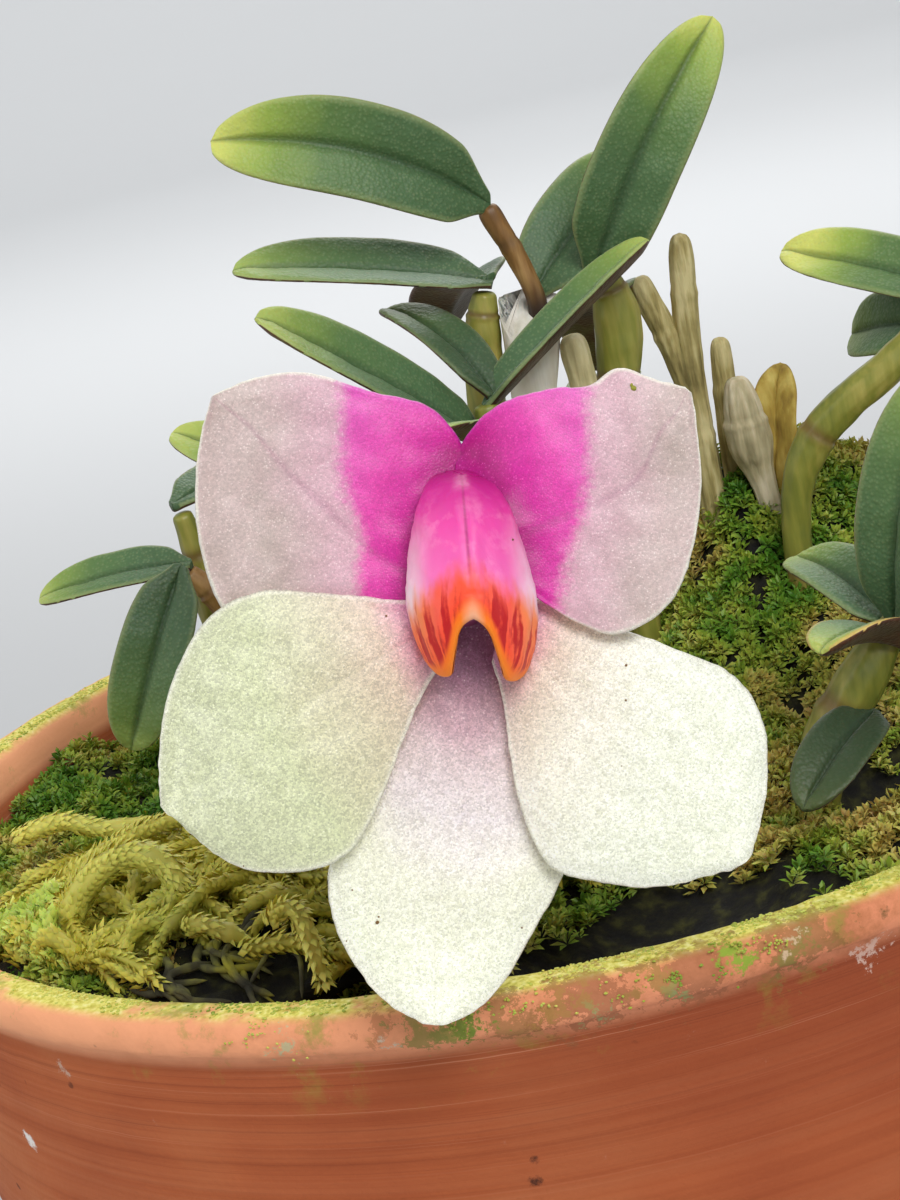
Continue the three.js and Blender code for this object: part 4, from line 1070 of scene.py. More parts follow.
def leaf_material(youth_and_shade, edge):
    """Leathery leaf with a soft gloss: yellow tip, purple underside, a pale margin of painted light, painted
    highlights on its papillae, and painted shade in its groove and on shaded leaves.
    """
    material, add, place = patterned(
        f"warty_leaf_{round(youth_and_shade * 20 + 20)}", Roughness=0.5, Subsurface_Weight=0.12, Subsurface_Scale=0.001,
        Sheen_Weight=0.15, Sheen_Roughness=0.4, Specular_IOR_Level=0.42,
    )
    along, across, upper = (
        add("Attribute", out="Fac", attribute_name=name) for name in ("along", "across", "upper")
    )
    clouds = add("TexNoise", {"Vector": place, "Scale": 230.0, "Detail": 4.0})
    early = max(youth_and_shade - 0.85, 0) * 2.6
    shift = add("Math", {0: clouds, 1: 0.22, 2: early - 0.11}, operation="MULTIPLY_ADD")
    reach = add("Math", {0: along, 1: shift}, operation="ADD")
    body = add(
        "ValToRGB", {"Fac": reach},
        stops=[(0.0, "#46603E"), (0.3, "#4E6E4A"), (0.62, "#5A7A48"), (0.86, "#728E48"), (1.0, "#9CB45C")]
    )
    fresh = add(
        "ValToRGB", {"Fac": reach},
        stops=[(0.0, "#46643E"), (0.4, "#4C6C40"), (0.64, "#5C7C3E"), (0.84, "#9CB44A"), (1.0, "#DCE072")]
    )
    tone = add("Mix", {"Factor": max(youth_and_shade, 0), "A": body, "B": fresh}, data_type="RGBA")
    papillae = add("TexVoronoi", {"Vector": place, "Scale": 1000.0 / WART_SIZE})
    # Painted highlight: a light dot on each papilla of the upper face.
    papilla_glint = add("MapRange", {"Value": papillae, "From Min": 0.5, "From Max": 0.0, "To Max": 0.2})
    papilla_glint = add("Math", {0: papilla_glint, 1: upper}, operation="MULTIPLY", use_clamp=True)
    middle = add("Math", {0: across}, operation="ABSOLUTE")
    # Painted shade: the groove along the middle is darkened.
    groove = add(
        "MapRange", {"Value": middle, "From Min": 0.0, "From Max": 0.24, "To Min": 0.62, "To Max": 0.0}
    )
    # Painted light: a pale margin where light shines through the thin edge, and golden glints on the level
    # leaf.
    edge_glint = 0.9 if edge == GOLDEN_GLINT_EDGE else 0.4
    margin = add("MapRange", {"Value": middle, "From Min": 0.84, "From Max": 1.0, "To Max": edge_glint})
    # Painted shade: leaves set below zero are darkened as leaves that stand in shade.
    shade = min(max(-2.2 * youth_and_shade, 0), 0.8)
    below = add(
        "ValToRGB", {"Fac": clouds}, stops=[(0.35, "#3A1A12"), (0.55, "#5A3A26"), (0.72, "#6E6A3C")]
    )
    under = add("MapRange", {"Value": upper, "From Min": -0.55, "From Max": -0.95})
    coats = [(papilla_glint, "#B0C08E"), (groove, "#2A4426"), (margin, edge), (shade, "#26341F"), (under, below)]
    tone = lay_coats(add, tone, coats)
    skin = add("Bump", {"Height": papillae, "Strength": 0.4, "Distance": 0.0001}, invert=True)
    finish(material, Base_Color=tone, Normal=skin)
    return material


leaf_finishes = {}
for name, (base, tip, width, face, traits) in LEAVES.items():
    youth_and_shade = traits.pop("youth_and_shade", 0.25)
    if youth_and_shade not in leaf_finishes:
        leaf_finishes[youth_and_shade] = leaf_material(youth_and_shade, GOLDEN_GLINT_EDGE if name == "level_leaf" else "#B4BE80")
    middle = leaf_middle(base, tip, width, face, **traits)
    blade = add_object("blade_" + name, leaf_mesh(middle, *LEAF_GRID), leaf_finishes[youth_and_shade])
    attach(blade, "root")
    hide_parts(name)

# Old growth
# Leafless stems and a shrunken bulb behind the live canes, a curled dead leaf, and the torn white
# sheath that still hugs the tall cane. All are dry, fibrous and straw to grey.
OLD_STEMS = {
    "dry_forked_stems": [
        ([(16.6, 12, ROOT_LEVEL), (17, 12, 80), (17.3, 12, 90.8), (18.5, 12, 101.4)],
        [0.9, 1.05, 1.0, 0.95]),
        ([(17.1, 12, 88.5), (16, 12, 94), (14.6, 12, 98.8)], [0.9, 0.95, 0.9]),
    ],
    "dry_stub": [([(19.8, 13, ROOT_LEVEL), (19.4, 13, 82), (20, 12.6, 92.8)], [0.9, 1, 0.8])],
    "old_bulb": [
        ([(22.4, 9.4, ROOT_LEVEL), (21, 9.8, 80), (20.4, 10, 85), (20.3, 10, 90)], [0.9, 0.9, 1.7, 1.0]),
    ],
}
SHEATH_ROUTE = [(4.3, 7.8, 88), (5, 8, 93.4), (6.2, 8.1, 100.2)]
SHEATH_RADII = [1.25, 1.75]
SHEATH_OPENING = 16
NOISE_SEED = 5


def dry_material(name, stops, pitch):
    """Dead plant fibre: pale lines run along the stem and dark pores break them."""
    material, add, place = patterned(name, Roughness=0.85, Subsurface_Weight=0.1, Subsurface_Scale=0.0006)
    stretched = add("Mapping", {"Vector": place, "Scale": (1 / pitch, 1 / pitch, 0.12 / pitch)})
    fibres = add("TexNoise", {"Vector": stretched, "Scale": 1.0, "Detail": 6.0})
    blotches = add("TexNoise", {"Vector": place, "Scale": 260.0, "Detail": 4.0})
    share = add("Mix", {"Factor": 0.5, "A": fibres, "B": blotches})
    tone = add("ValToRGB", {"Fac": share}, stops=stops)
    relief = add("Bump", {"Height": fibres, "Strength": 0.8, "Distance": 0.00025})
    finish(material, Base_Color=tone, Normal=relief)
    return material


straw = dry_material("straw_fibre", [(0.34, "#6E6236"), (0.47, "#A89A62"), (0.6, "#D2C692")], 0.0005)
husk = dry_material("grey_husk", [(0.34, "#8E8462"), (0.48, "#BEB28E"), (0.62, "#E4D8BC")], 0.0007)
tissue = dry_material("papery_tissue", [(0.28, "#C8BEAA"), (0.46, "#E2DACA"), (0.68, "#F6F2E8")], 0.0009)
rust = dry_material("rusty_dead_leaf", [(0.34, "#6E5426"), (0.5, "#AA903E"), (0.64, "#CCB866")], 0.0008)
for name, stems in OLD_STEMS.items():
    bm = bmesh.new()
    for index, (route, radii) in enumerate(stems):
        grow(bm, cane_skin(route, radii, ridge=0.07, seed=5.0 + index, ends=14), 30, 90)
    stem = add_object("fibre_" + name, bm, husk if name == "old_bulb" else straw)
    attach(stem, "root")
    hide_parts(name)

# The noise that gives vectors would take its seed from the clock, so it gets one that stays the same.
noise.seed_set(NOISE_SEED)
dead_middle = leaf_middle((21.8, 11.1, 80), (24.2, 12.4, 89.8), 4.4, (-0.3, -1, 0.2), fold=34)
bm = leaf_mesh(dead_middle, 40, 60)
for vert in bm.verts:
    vert.co += 0.25 * noise.noise_vector(vert.co * 0.35)
dead = add_object("shrivelled_leaf", bm, rust)
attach(dead, "root")
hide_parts("dry_leaf")


def torn_sleeve(route, radii, opening, thick, raggedness, seed):
    """A thin sleeve round a cane, slit at the back, with a torn upper edge that dips in front."""
    def skin_at(u, turn):
        over, v = side_and_across(turn, 0)
        coarse, fine = noise.noise(Vector((v * 3.0, seed, 0))), noise.noise(Vector((v * 11.0, seed, 4)))
        torn = raggedness * (coarse + 0.5 * fine)
        angle = v * (360 - opening) * math.pi / 360
        torn -= 2.2 * raggedness * smooth(0.5 + 0.7 * math.cos(angle))
        reach = blend(0.04 * torn, 1.0 + torn, u)
        centre, along, first, second = frame_at(route, min(max(reach, 0), 1.15))
        centre = centre + along * max(reach - 1, 0) * 4
        flare = 1 + 0.34 * max(u, 0) ** 2.4 + 0.09 * noise.noise(Vector((v * 4, u * 3, seed)))
        wall = thick * (1 - abs(v) ** 6) * min(1, 12 * u, 12 * (1 - u))
        return ring_point((centre, along, first, second), -angle, blend(*radii, u) * flare + over * wall)
    bm = bmesh.new()
    grow(bm, skin_at, 64, 60)
    return bm


pale_shoot = bmesh.new()
shoot_route = [(9.0, 7.6, 84), (8.8, 7.4, 90), (8.5, 7.4, 96.6)]
grow(pale_shoot, cane_skin(shoot_route, [0.8, 1.0, 1.15], ridge=0.02, ends=8), 30, 60)
cream = dry_material("cream_tissue", [(0.3, "#A09468"), (0.46, "#CFC494"), (0.64, "#EDE4C2")], 0.0006)
pale_shoot = add_object("cream_shoot", pale_shoot, cream)
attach(pale_shoot, "root")
sleeve = torn_sleeve(SHEATH_ROUTE, SHEATH_RADII, SHEATH_OPENING, thick=0.14, raggedness=0.1, seed=2.0)
sheath = add_object("torn_sheath", sleeve, tissue)
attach(sheath, "root")
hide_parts("papery_sheath")

# Sepals
# The three outer flower segments, firm and crystalline. The two lateral ones stand at the top, because
# the flower hangs upside down, with magenta inner halves and a fused foot, and the dorsal one hangs below.
bloom_frame = Matrix.Translation(BLOOM_CENTRE) @ facing
NOTCH = Vector((-0.2, 8.0))
SEPAL_HALF = 0.24
SEPAL_RIPPLE = 0.05
SEGMENT_GRID = (112, 96)
# Each sepal: its two margins from foot to tip, and its depth by u along, v across and the notch's pull.
SEPALS = {
    "dorsal_sepal": (
        [(1.7, 0.8), (2.3, -2.2), (3.3, -5.3), (4.9, -8.7), (5.7, -12.0), (5.1, -14.8), (3.7, -17.4),
         (2.2, -19.9), (0.7, -21.45), (-0.9, -22.15)],
        [(-1.6, 0.8), (-2.1, -2.2), (-3.2, -5.3), (-4.7, -8.4), (-6.2, -11.9), (-7.3, -14.4),
         (-6.9, -17.3), (-5.4, -19.9), (-3.9, -21.35), (-2.2, -22.15)],
        lambda u, v, sunk: -1.3 + 2.7 * u ** 2.3 - 0.3 * v * v,
    ),
    "lateral_sepal_left": (
        [(-3.0, -2.1), (-6.6, -2.9), (-10.3, -2.4), (-12.9, -0.4), (-14.1, 2.9), (-14.3, 6.2),
         (-14.0, 8.6), (-13.4, 10.7)],
        [(0.3, 3.4), (0.5, 5.9), (0.0, 8.1), (-1.8, 10.35), (-5.0, 11.2), (-8.4, 12.2), (-11.2, 11.85),
         (-13.2, 11.0)],
        lambda u, v, sunk: -1.15 - 0.25 * v + 1.6 * u * u - 0.35 * sunk,
    ),
    "lateral_sepal_right": (
        [(-0.4, 4.2), (-0.5, 6.2), (-0.42, 8.05), (1.4, 10.2), (4.3, 11.2), (6.5, 11.4), (8.0, 12.3),
         (9.9, 11.7), (11.5, 11.3)],
        [(2.4, 1.3), (4.2, -0.1), (6.1, -1.2), (8, -1.7), (10.3, -0.5), (11.6, 1.7), (12.3, 5.3),
         (12.2, 8.2), (11.8, 10.9)],
        lambda u, v, sunk: 0.85 + 0.35 * v + 0.6 * u * u - 2.15 * sunk,
    ),
}
FLUSH_EDGES = {
    "lateral_sepal_left": [(-2, 5.6), (0.3, 5.7), (2.2, 5.5), (3.6, 5.6), (6, 6.5), (9, 6.5), (13, 6.7)],
    "lateral_sepal_right": [(-2, 4.2), (0, 5.0), (2.7, 5.4), (4.7, 6.1), (7, 6.6), (10, 6.4), (13, 6.5)],
}


def edge_at(points, height):
    """How far from the middle line the magenta ends at this height."""
    for (low, near), (high, far) in zip(points, points[1:]):
        if height < high:
            return blend(near, far, (height - low) / (high - low))
    return points[-1][1]


def notch_at(spot):
    """How near a place is to the notch between the lateral sepals, from 0 to 1."""
    return math.exp(-((spot.xy - NOTCH).length / 2.2) ** 2)


def segment_mesh(first, second, depth, half, ripple, flush_edge=((-99, 0), (99, 0))):
    """A thin segment between two margins, closed round its edge, with marks for its material."""
    def skin_at(u, turn):
        u = (1 - math.cos(math.pi * u)) / 2
        over, v = side_and_across(turn, 0.35)
        low, high = (curve_at([(x, y, 0) for x, y in margin], u) for margin in (first, second))
        spot = low.lerp(high, (v + 1) / 2)
        spot.z = depth(u, v, notch_at(spot)) + 0.16 * noise.noise(spot * 0.3) * smooth(u / 0.3)
        rim = min((high - low).length / 2 * (1 - abs(v)), 20 * (1 - u))
        scallop = ripple * smooth(1 - rim / 0.8) * smooth(u / 0.15)
        spot.z += scallop * 3.0 * noise.noise(spot * 0.55)
        spot.xy += scallop * Vector((noise.noise(spot * 1.9), noise.noise(spot * 1.9 + Vector((7, 7, 7)))))
        fold = 0.05 * math.exp(-(v / 0.035) ** 2) * smooth(u / 0.2) * smooth((1 - u) / 0.3)
        rounded = math.sqrt(1 - (1 - min(rim / 0.12, 1)) ** 2 + 0.01)
        thick = half * blend(0.35, 1.0, smooth(rim / 1.8)) * rounded
        pillow = 0.12 * noise.noise(spot * 0.8) * smooth(rim / 2)
        spot.z += over * thick + pillow - fold
        # How far a place is from the lip's outline, less near the notch: the materials darken the tissue
        # there, partly as painted shade from the lip.
        lip_gap = (math.hypot((spot.x - 0.25) / 3.4, (spot.y - 1.6) / 5.4) - 1) * 3.6
        flush = edge_at(flush_edge, spot.y) - abs(spot.x)
        return bloom_frame @ spot, (v, rim, flush, lip_gap - 1.2 * notch_at(spot))
    bm = bmesh.new()
    grow(bm, skin_at, *SEGMENT_GRID, ("across", "rim", "flush", "inner"))
    return bm


CELL_SIZE = 0.0001
GRAIN_SIZE = 0.00006


def crystalline(material, add, place, tone, contrast, glint_tone, glint_share):
    """Swollen clear cells like sugar in the skin: each is a little lighter or darker, and a few carry a
    painted glint, a painted highlight mixed into their colour.
    """
    cells = add("TexVoronoi", {"Vector": place, "Scale": 1 / CELL_SIZE})
    each = add("SeparateColor", {"Color": cells.node.outputs["Color"]})
    grain = add("TexNoise", {"Vector": place, "Scale": 1 / GRAIN_SIZE, "Detail": 1.0})
    drift = add("TexNoise", {"Vector": place, "Scale": 2600.0, "Detail": 3.0})
    share = add("Mix", {"Factor": 0.6, "A": each, "B": grain})
    share = add("Mix", {"Factor": 0.2, "A": share, "B": drift})
    low, high = 1 - contrast, 1 + contrast
    value = add(
        "MapRange", {"Value": share, "From Min": 0.3, "From Max": 0.7, "To Min": low, "To Max": high}
    )
    tone = add("HueSaturation", {"Value": value, "Color": tone})
    # Painted highlights: a few chosen cells get a bright dot mixed into their colour.
    chosen = add("MapRange", {"Value": each, "From Min": 1 - glint_share, "From Max": 1.0, "To Max": 1.0})
    core = add("MapRange", {"Value": cells, "From Min": 0.5, "From Max": 0.1})
    glint = add("Math", {0: chosen, 1: core}, operation="MULTIPLY")
    glint = add("Math", {0: glint, 1: 0.7}, operation="MULTIPLY")
    tone = add("Mix", {"Factor": glint, "A": tone, "B": glint_tone}, data_type="RGBA")
    domes = add("Bump", {"Height": cells, "Strength": 0.3, "Distance": 0.00004}, invert=True)
    finish(material, Base_Color=tone, Normal=domes)


# Bicolour sepal: clear crystals over white tissue, dyed magenta inside a frayed edge, and darkest by the lip
# and the notch, where the deeper magenta is partly its own colour and partly painted shade from the lip.
lateral, add, place = patterned(
    "bicolour_sepal", Roughness=0.42, Subsurface_Weight=0.35, Subsurface_Scale=0.0008,
    Subsurface_Radius=(1.0, 0.6, 0.7), Specular_IOR_Level=0.45,
)
across, rim, flush, inner = (
    add("Attribute", out="Fac", attribute_name=name) for name in ("across", "rim", "flush", "inner")
)
fray = add("TexNoise", {"Vector": place, "Scale": 3000.0, "Detail": 4.0, "Roughness": 0.7})
sway = add("TexNoise", {"Vector": place, "Scale": 420.0, "Detail": 2.0})
edge = add("Math", {0: fray, 1: 1.3, 2: flush}, operation="MULTIPLY_ADD")
edge = add("Math", {0: sway, 1: 1.1, 2: edge}, operation="MULTIPLY_ADD")
dyed = add("MapRange", {"Value": edge, "From Min": 0.55, "From Max": 1.85}, interpolation_type="SMOOTHSTEP")
blush = add(
    "MapRange", {"Value": edge, "From Min": -4.0, "From Max": 1.2, "To Max": 0.75},
    interpolation_type="SMOOTHSTEP"
)
clouds = add("TexNoise", {"Vector": place, "Scale": 260.0, "Detail": 3.0})
pale = add("ValToRGB", {"Fac": clouds}, stops=[(0.35, "#BEAEA6"), (0.65, "#D2BFBB")])
# Partly painted shade: the magenta deepens towards the lip's outline and the notch.
depth = add("MapRange", {"Value": inner, "From Min": -0.4, "From Max": 7.0})
deep = add(
    "ValToRGB", {"Fac": depth},
    stops=[(0.0, "#AE0C7C"), (0.14, "#D0249C"), (0.4, "#E24CB0"), (0.75, "#E05CB8"), (1.0, "#D664B4")]
)
middle = add("Math", {0: across}, operation="ABSOLUTE")
vein = add("MapRange", {"Value": middle, "From Min": 0.0, "From Max": 0.05, "To Min": 0.24, "To Max": 0.0})
edging = add("MapRange", {"Value": rim, "From Min": 0.3, "From Max": 0.06, "To Max": 0.75})
edging = add("Math", {0: edging, 1: dyed}, operation="SUBTRACT", use_clamp=True)
tone = lay_coats(add, pale, [(blush, "#DDB0C2"), (dyed, deep), (vein, "#A0527E"), (edging, "#F8F2E0")])
# Colours of the painted highlights: white on the pale tissue, pink on the magenta.
glints = add("Mix", {"Factor": dyed, "A": "#FFFAF6", "B": "#F07CC8"}, data_type="RGBA")
crystalline(lateral, add, place, tone, 0.15, glints, 0.22)
for name, flush_edge in FLUSH_EDGES.items():
    sepal_mesh = segment_mesh(*SEPALS[name], SEPAL_HALF, SEPAL_RIPPLE, flush_edge)
    sepal = add_object("tissue_" + name, sepal_mesh, lateral)
    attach(sepal, "root")
    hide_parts(name)


def pale_tissue(name, stops, grey):
    """Cream and pale green tissue, mauve near the lip, partly as painted shade on the dorsal sepal, with a
    clear thin margin and faint veins.
    """
    material, add, place = patterned(
        name, Roughness=0.4, Subsurface_Weight=0.4, Subsurface_Scale=0.001, Subsurface_Radius=(1.0, 1.0, 0.7),
        Specular_IOR_Level=0.45,
    )
    across, rim, inner = (
        add("Attribute", out="Fac", attribute_name=name) for name in ("across", "rim", "inner")
    )
    clouds = add("TexNoise", {"Vector": place, "Scale": 190.0, "Detail": 4.0})
    share = add("Math", {0: clouds, 1: 2.4, 2: -1.2}, operation="MULTIPLY_ADD")
    share = add("Math", {0: share, 1: inner}, operation="ADD")
    share = add("MapRange", {"Value": share, "From Min": 0.0, "From Max": 12.0})
    tone = add("ValToRGB", {"Fac": share}, stops=stops)
    waves = add("Math", {0: across, 1: 28.0}, operation="MULTIPLY")
    waves = add("Math", {0: waves}, operation="COSINE")
    veins = add("MapRange", {"Value": waves, "From Min": 0.9, "From Max": 1.0, "To Max": 0.1})
    edging = add("MapRange", {"Value": rim, "From Min": 0.35, "From Max": 0.05, "To Max": 0.7})
    tone = lay_coats(add, tone, [(veins, grey), (edging, "#FBFAE0")])
    crystalline(material, add, place, tone, 0.27, "#FFFFF6", 0.14)
    return material


# The dorsal sepal's darkest mauve, at its base by the lip, is partly its own colour and partly painted shade
# from the lip and petals.
dorsal_tissue = pale_tissue(
    "mauve_and_cream_sepal",
    [(0.0, "#A06684"), (0.09, "#C69CA8"), (0.25, "#DDC6C8"), (0.45, "#F0E4E2"), (0.64, "#F2F1DA"),
     (0.9, "#F8FBE0")],
    "#B4A0A8",
)
dorsal_mesh = segment_mesh(*SEPALS["dorsal_sepal"], SEPAL_HALF, SEPAL_RIPPLE)
dorsal = add_object("tissue_dorsal_sepal", dorsal_mesh, dorsal_tissue)
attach(dorsal, "root")
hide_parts("dorsal_sepal")

# Petals
# The two broad inner segments, cream and faintly green, which spread left and right below the lip. They
# are one flat sheet of swollen glassy cells, a little cupped, with thin uneven margins.
PETAL_HALF = 0.22
PETAL_RIPPLE = 0.07
PETALS = {
    "petal_left": (
        [(-0.8, -2.6), (-2.2, -4.8), (-3.3, -7.4), (-4.4, -10.3), (-6.1, -13.2), (-8.9, -14.2),
         (-12.2, -13.7), (-15.1, -11.3)],
        [(-2.1, 0), (-4.5, 0.2), (-7.7, 0.5), (-11.1, 0.5), (-13.8, -1.1), (-15.5, -4.5), (-16, -7.9),
         (-15.9, -10.6)],
    ),
    "petal_right": (
        [(2.0, -0.5), (4.4, 0.2), (7.7, -1.2), (11.4, -2.6), (14.3, -4), (15.7, -6.6), (15.7, -10.1),
         (14.9, -13.1)],
        [(1.4, -3.2), (2, -5.3), (2.3, -7.7), (2.9, -10.8), (4.4, -13.9), (7.1, -14.7), (10.1, -14.9),
         (13.8, -13.9)],
    ),
}
# The left petal's stops are darker than the right's: painted shade, as the left petal stands in less light.
PETAL_STOPS = {
    "petal_left": [
        (0.0, "#CC80A4"), (0.07, "#D8A6B0"), (0.18, "#DECAB6"), (0.4, "#D8D0B4"), (0.7, "#D3D8B2"),
        (1.0, "#CDD2B0"),
    ],
    "petal_right": [
        (0.0, "#CC80A4"), (0.07, "#D4A4A8"), (0.18, "#E2CCBC"), (0.4, "#F8F1DE"), (0.7, "#F4F6E0"),
        (1.0, "#F0F4DC"),
    ],
}


def cupped(u, v, sunk):
    """How far a petal stands out of its plane, by u along it and v across it."""
    return 0.25 + 2.6 * u * u - 0.5 * v * v


for name, (first, second) in PETALS.items():
    bm = segment_mesh(first, second, cupped, PETAL_HALF, PETAL_RIPPLE)
    petal = add_object("tissue_" + name, bm, pale_tissue("cream_" + name, PETAL_STOPS[name], "#B4BE94"))
    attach(petal, "root")
    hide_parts(name)

# Lip
# The third petal, a fleshy hood over the column that opens downwards in an arch. Hot pink above, it ends
# in a thick waxy orange edge with dark red streaks, drawn out in two side lobes that curl in.
LIP_WRAP = 112
LIP_HALF = 0.27
LIP_ARC = 12.6
LIP_GRID = (160, 120)
LIP_PROFILE = [
    (0, 6.85), (0.9, 6.76), (1.4, 6.42), (1.78, 5.9), (2.08, 5.2), (2.36, 4.4), (2.64, 3.3),
    (2.93, 2.0), (3.12, 0.9), (3.2, -0.2), (3.1, -1.2), (2.84, -2.3), (2.46, -3.2), (1.95, -3.95),
]
# How far down the hood reaches, by the share of the way from its middle to its side.
MOUTH_EDGE = [
    (0, 0.745), (0.125, 0.793), (0.25, 0.915), (0.375, 0.985), (0.5, 1.0), (0.625, 0.99), (0.75, 0.96),
    (0.875, 0.91), (1, 0.85),
]


def lip_at(u, v):
    """The hood's middle surface, with u from its top to the mouth and v from side to side."""
    end = curve_at(MOUTH_EDGE, abs(v)).y
    half, height = curve_at(LIP_PROFILE, u * end)
    angle = math.radians(v * LIP_WRAP)
    lean = blend(-0.25, 0.66, (6.85 - height) / 10.8)
    lower = 0.075 * half * math.sin(angle) * smooth(u)
    swell = blend(-2.3, 0.9, smooth(u / 0.4))
    spot = Vector((lean + half * math.sin(angle), height - lower, swell + half * math.cos(angle)))
    return spot, end * (1 - u) * LIP_ARC


def lip_skin(u, turn):
    u = (1 - math.cos(math.pi * u)) / 2
    over, v = side_and_across(turn, 0.3)
    spot, mouth = lip_at(u, v)
    around = lip_at(u, min(v + 0.01, 1))[0] - lip_at(u, max(v - 0.01, -1))[0]
    down = lip_at(min(u + 0.01, 1), v)[0] - lip_at(max(u - 0.01, 0), v)[0]
    out = around.cross(down)
    out = out.normalized() if out.length > 1e-9 else Vector((0, 0, 1))
    if out.dot(spot - Vector((0.2, spot.y, 0.4))) < 0:
        out.negate()
    edge = min(mouth, 3.2 * (1 - abs(v)) + 0.02, 12 * u + 0.05)
    thick = LIP_HALF * math.sqrt(1 - (1 - min(edge / 0.3, 1)) ** 2 + 0.003)
    groove = 0.05 * math.exp(-(v / 0.03) ** 2) * smooth((mouth - 2.4) / 1.5) * smooth(u / 0.12)
    keels = 0.045 * math.sin(abs(v) * 30) * smooth((mouth - 0.5) / 1.5) * smooth((5.5 - mouth) / 3)
    ripples = (0.07 * noise.noise(spot * 1.3) + 0.03 * noise.noise(spot * 4)) * smooth(edge / 0.6)
    spot = spot + out * (thick - groove + keels + ripples if over > 0 else -thick)
    return bloom_frame @ spot, (mouth, v, spot.y, over)


bm = bmesh.new()
skin = grow(bm, lip_skin, *LIP_GRID, ("mouth", "swing", "height", "upper"))
to_mouth = bm.verts.layers.float["mouth"]
bmesh.ops.delete(bm, geom=[vert for vert in skin if vert[to_mouth] == 0], context="VERTS")
bmesh.ops.remove_doubles(bm, verts=[vert for vert in bm.verts if vert[to_mouth] < 0.01], dist=0.08)

# Waxy flesh with a wet gloss, so the edge of the mouth catches a line of light.
waxy, add, place = patterned(
    "waxy_lip", Roughness=0.45, Subsurface_Weight=0.3, Subsurface_Scale=0.0007,
    Subsurface_Radius=(1.0, 0.45, 0.5), Specular_IOR_Level=0.35,
)
mouth, swing, height, upper = (
    add("Attribute", out="Fac", attribute_name=name) for name in ("mouth", "swing", "height", "upper")
)
side = add("Math", {0: swing}, operation="ABSOLUTE")
lengthwise = add("Math", {0: height, 1: 0.045}, operation="MULTIPLY")
flames = add("CombineXYZ", {"X": swing, "Y": lengthwise})
flames = add("TexNoise", {"Vector": flames, "Scale": 9.0, "Detail": 3.0})

# Pink: deep at the top, hot in the middle and nearly white on the flanks, with a dark line of painted shade
# in the groove.
fall = add("MapRange", {"Value": height, "From Min": 6.9, "From Max": 0.5})
pink = add(
    "ValToRGB", {"Fac": fall},
    stops=[(0.0, "#AC1074"), (0.16, "#CE2A90"), (0.45, "#F04CAA"), (1.0, "#FA78BE")]
)
pale = add("MapRange", {"Value": side, "From Min": 0.3, "From Max": 0.62}, interpolation_type="SMOOTHSTEP")
low = add("MapRange", {"Value": fall, "From Min": 0.35, "From Max": 1.0})
pale = add("Math", {0: pale, 1: low}, operation="MULTIPLY")
seam = add("MapRange", {"Value": side, "From Min": 0.004, "From Max": 0.024, "To Min": 0.7, "To Max": 0.0})
flecks = add("TexNoise", {"Vector": place, "Scale": 1100.0, "Detail": 4.0, "Roughness": 0.6})
flecks = add("MapRange", {"Value": flecks, "From Min": 0.5, "From Max": 0.66, "To Max": 0.9})
fleck_fade = add("MapRange", {"Value": fall, "From Min": 0.12, "From Max": 0.4, "To Max": 0.38})
flecks = add("Math", {0: flecks, 1: fleck_fade}, operation="MULTIPLY")
pink = lay_coats(add, pink, [(pale, "#FFDEEA"), (seam, "#B01E72"), (flecks, "#FF9CCB")])

# Flame: salmon above the arch and along the flanks, pure orange on its edge.
reach = add("Math", {0: side, 1: 3.3, 2: height}, operation="MULTIPLY_ADD")
reach = add("Math", {0: flames, 1: -3.0, 2: reach}, operation="MULTIPLY_ADD")
warm = add("MapRange", {"Value": reach, "From Min": 1.2, "From Max": -0.7}, interpolation_type="SMOOTHSTEP")
rise = add("MapRange", {"Value": mouth, "From Min": 0.0, "From Max": 4.0})
fire = add(
    "ValToRGB", {"Fac": rise},
    stops=[(0.0, "#FF8A1C"), (0.15, "#FF7A18"), (0.3, "#FF5430"), (0.7, "#FF604C")]
)
flank = add("MapRange", {"Value": side, "From Min": 0.3, "From Max": 0.5})
flank = add("Math", {0: flank, 1: rise}, operation="MULTIPLY")
apex = add("MapRange", {"Value": side, "From Min": 0.1, "From Max": 0.02, "To Max": 0.75})
apex_fade = add("MapRange", {"Value": mouth, "From Min": 1.1, "From Max": 0.3})
apex = add("Math", {0: apex, 1: apex_fade}, operation="MULTIPLY")
fire = lay_coats(add, fire, [(flank, "#FF9456"), (apex, "#F2BC9C")])

# Streaks: dark red lines that run down the flanks, merge in the lobes and stop short of the edge.
wander = add("Math", {0: flames, 1: 11.0}, operation="MULTIPLY")
streak = add("Math", {0: side, 1: 38.0, 2: wander}, operation="MULTIPLY_ADD")
streak = add("Math", {0: streak}, operation="SINE")
thin = add("Math", {0: side, 1: 112.0, 2: wander}, operation="MULTIPLY_ADD")
thin = add("Math", {0: thin}, operation="SINE")
streak = add("Math", {0: thin, 1: 0.5, 2: streak}, operation="MULTIPLY_ADD")
blur = add("TexNoise", {"Vector": place, "Scale": 2400.0, "Detail": 3.0, "Roughness": 0.7})
streak = add("Math", {0: blur, 1: 1.4, 2: streak}, operation="MULTIPLY_ADD")
patch = add("MapRange", {"Value": mouth, "From Min": 3.2, "From Max": 1.6, "To Max": 0.75})
streak = add("Math", {0: streak, 1: patch}, operation="ADD")
streak = add(
    "MapRange", {"Value": streak, "From Min": 0.4, "From Max": 1.9, "To Max": 0.95},
    interpolation_type="SMOOTHSTEP"
)
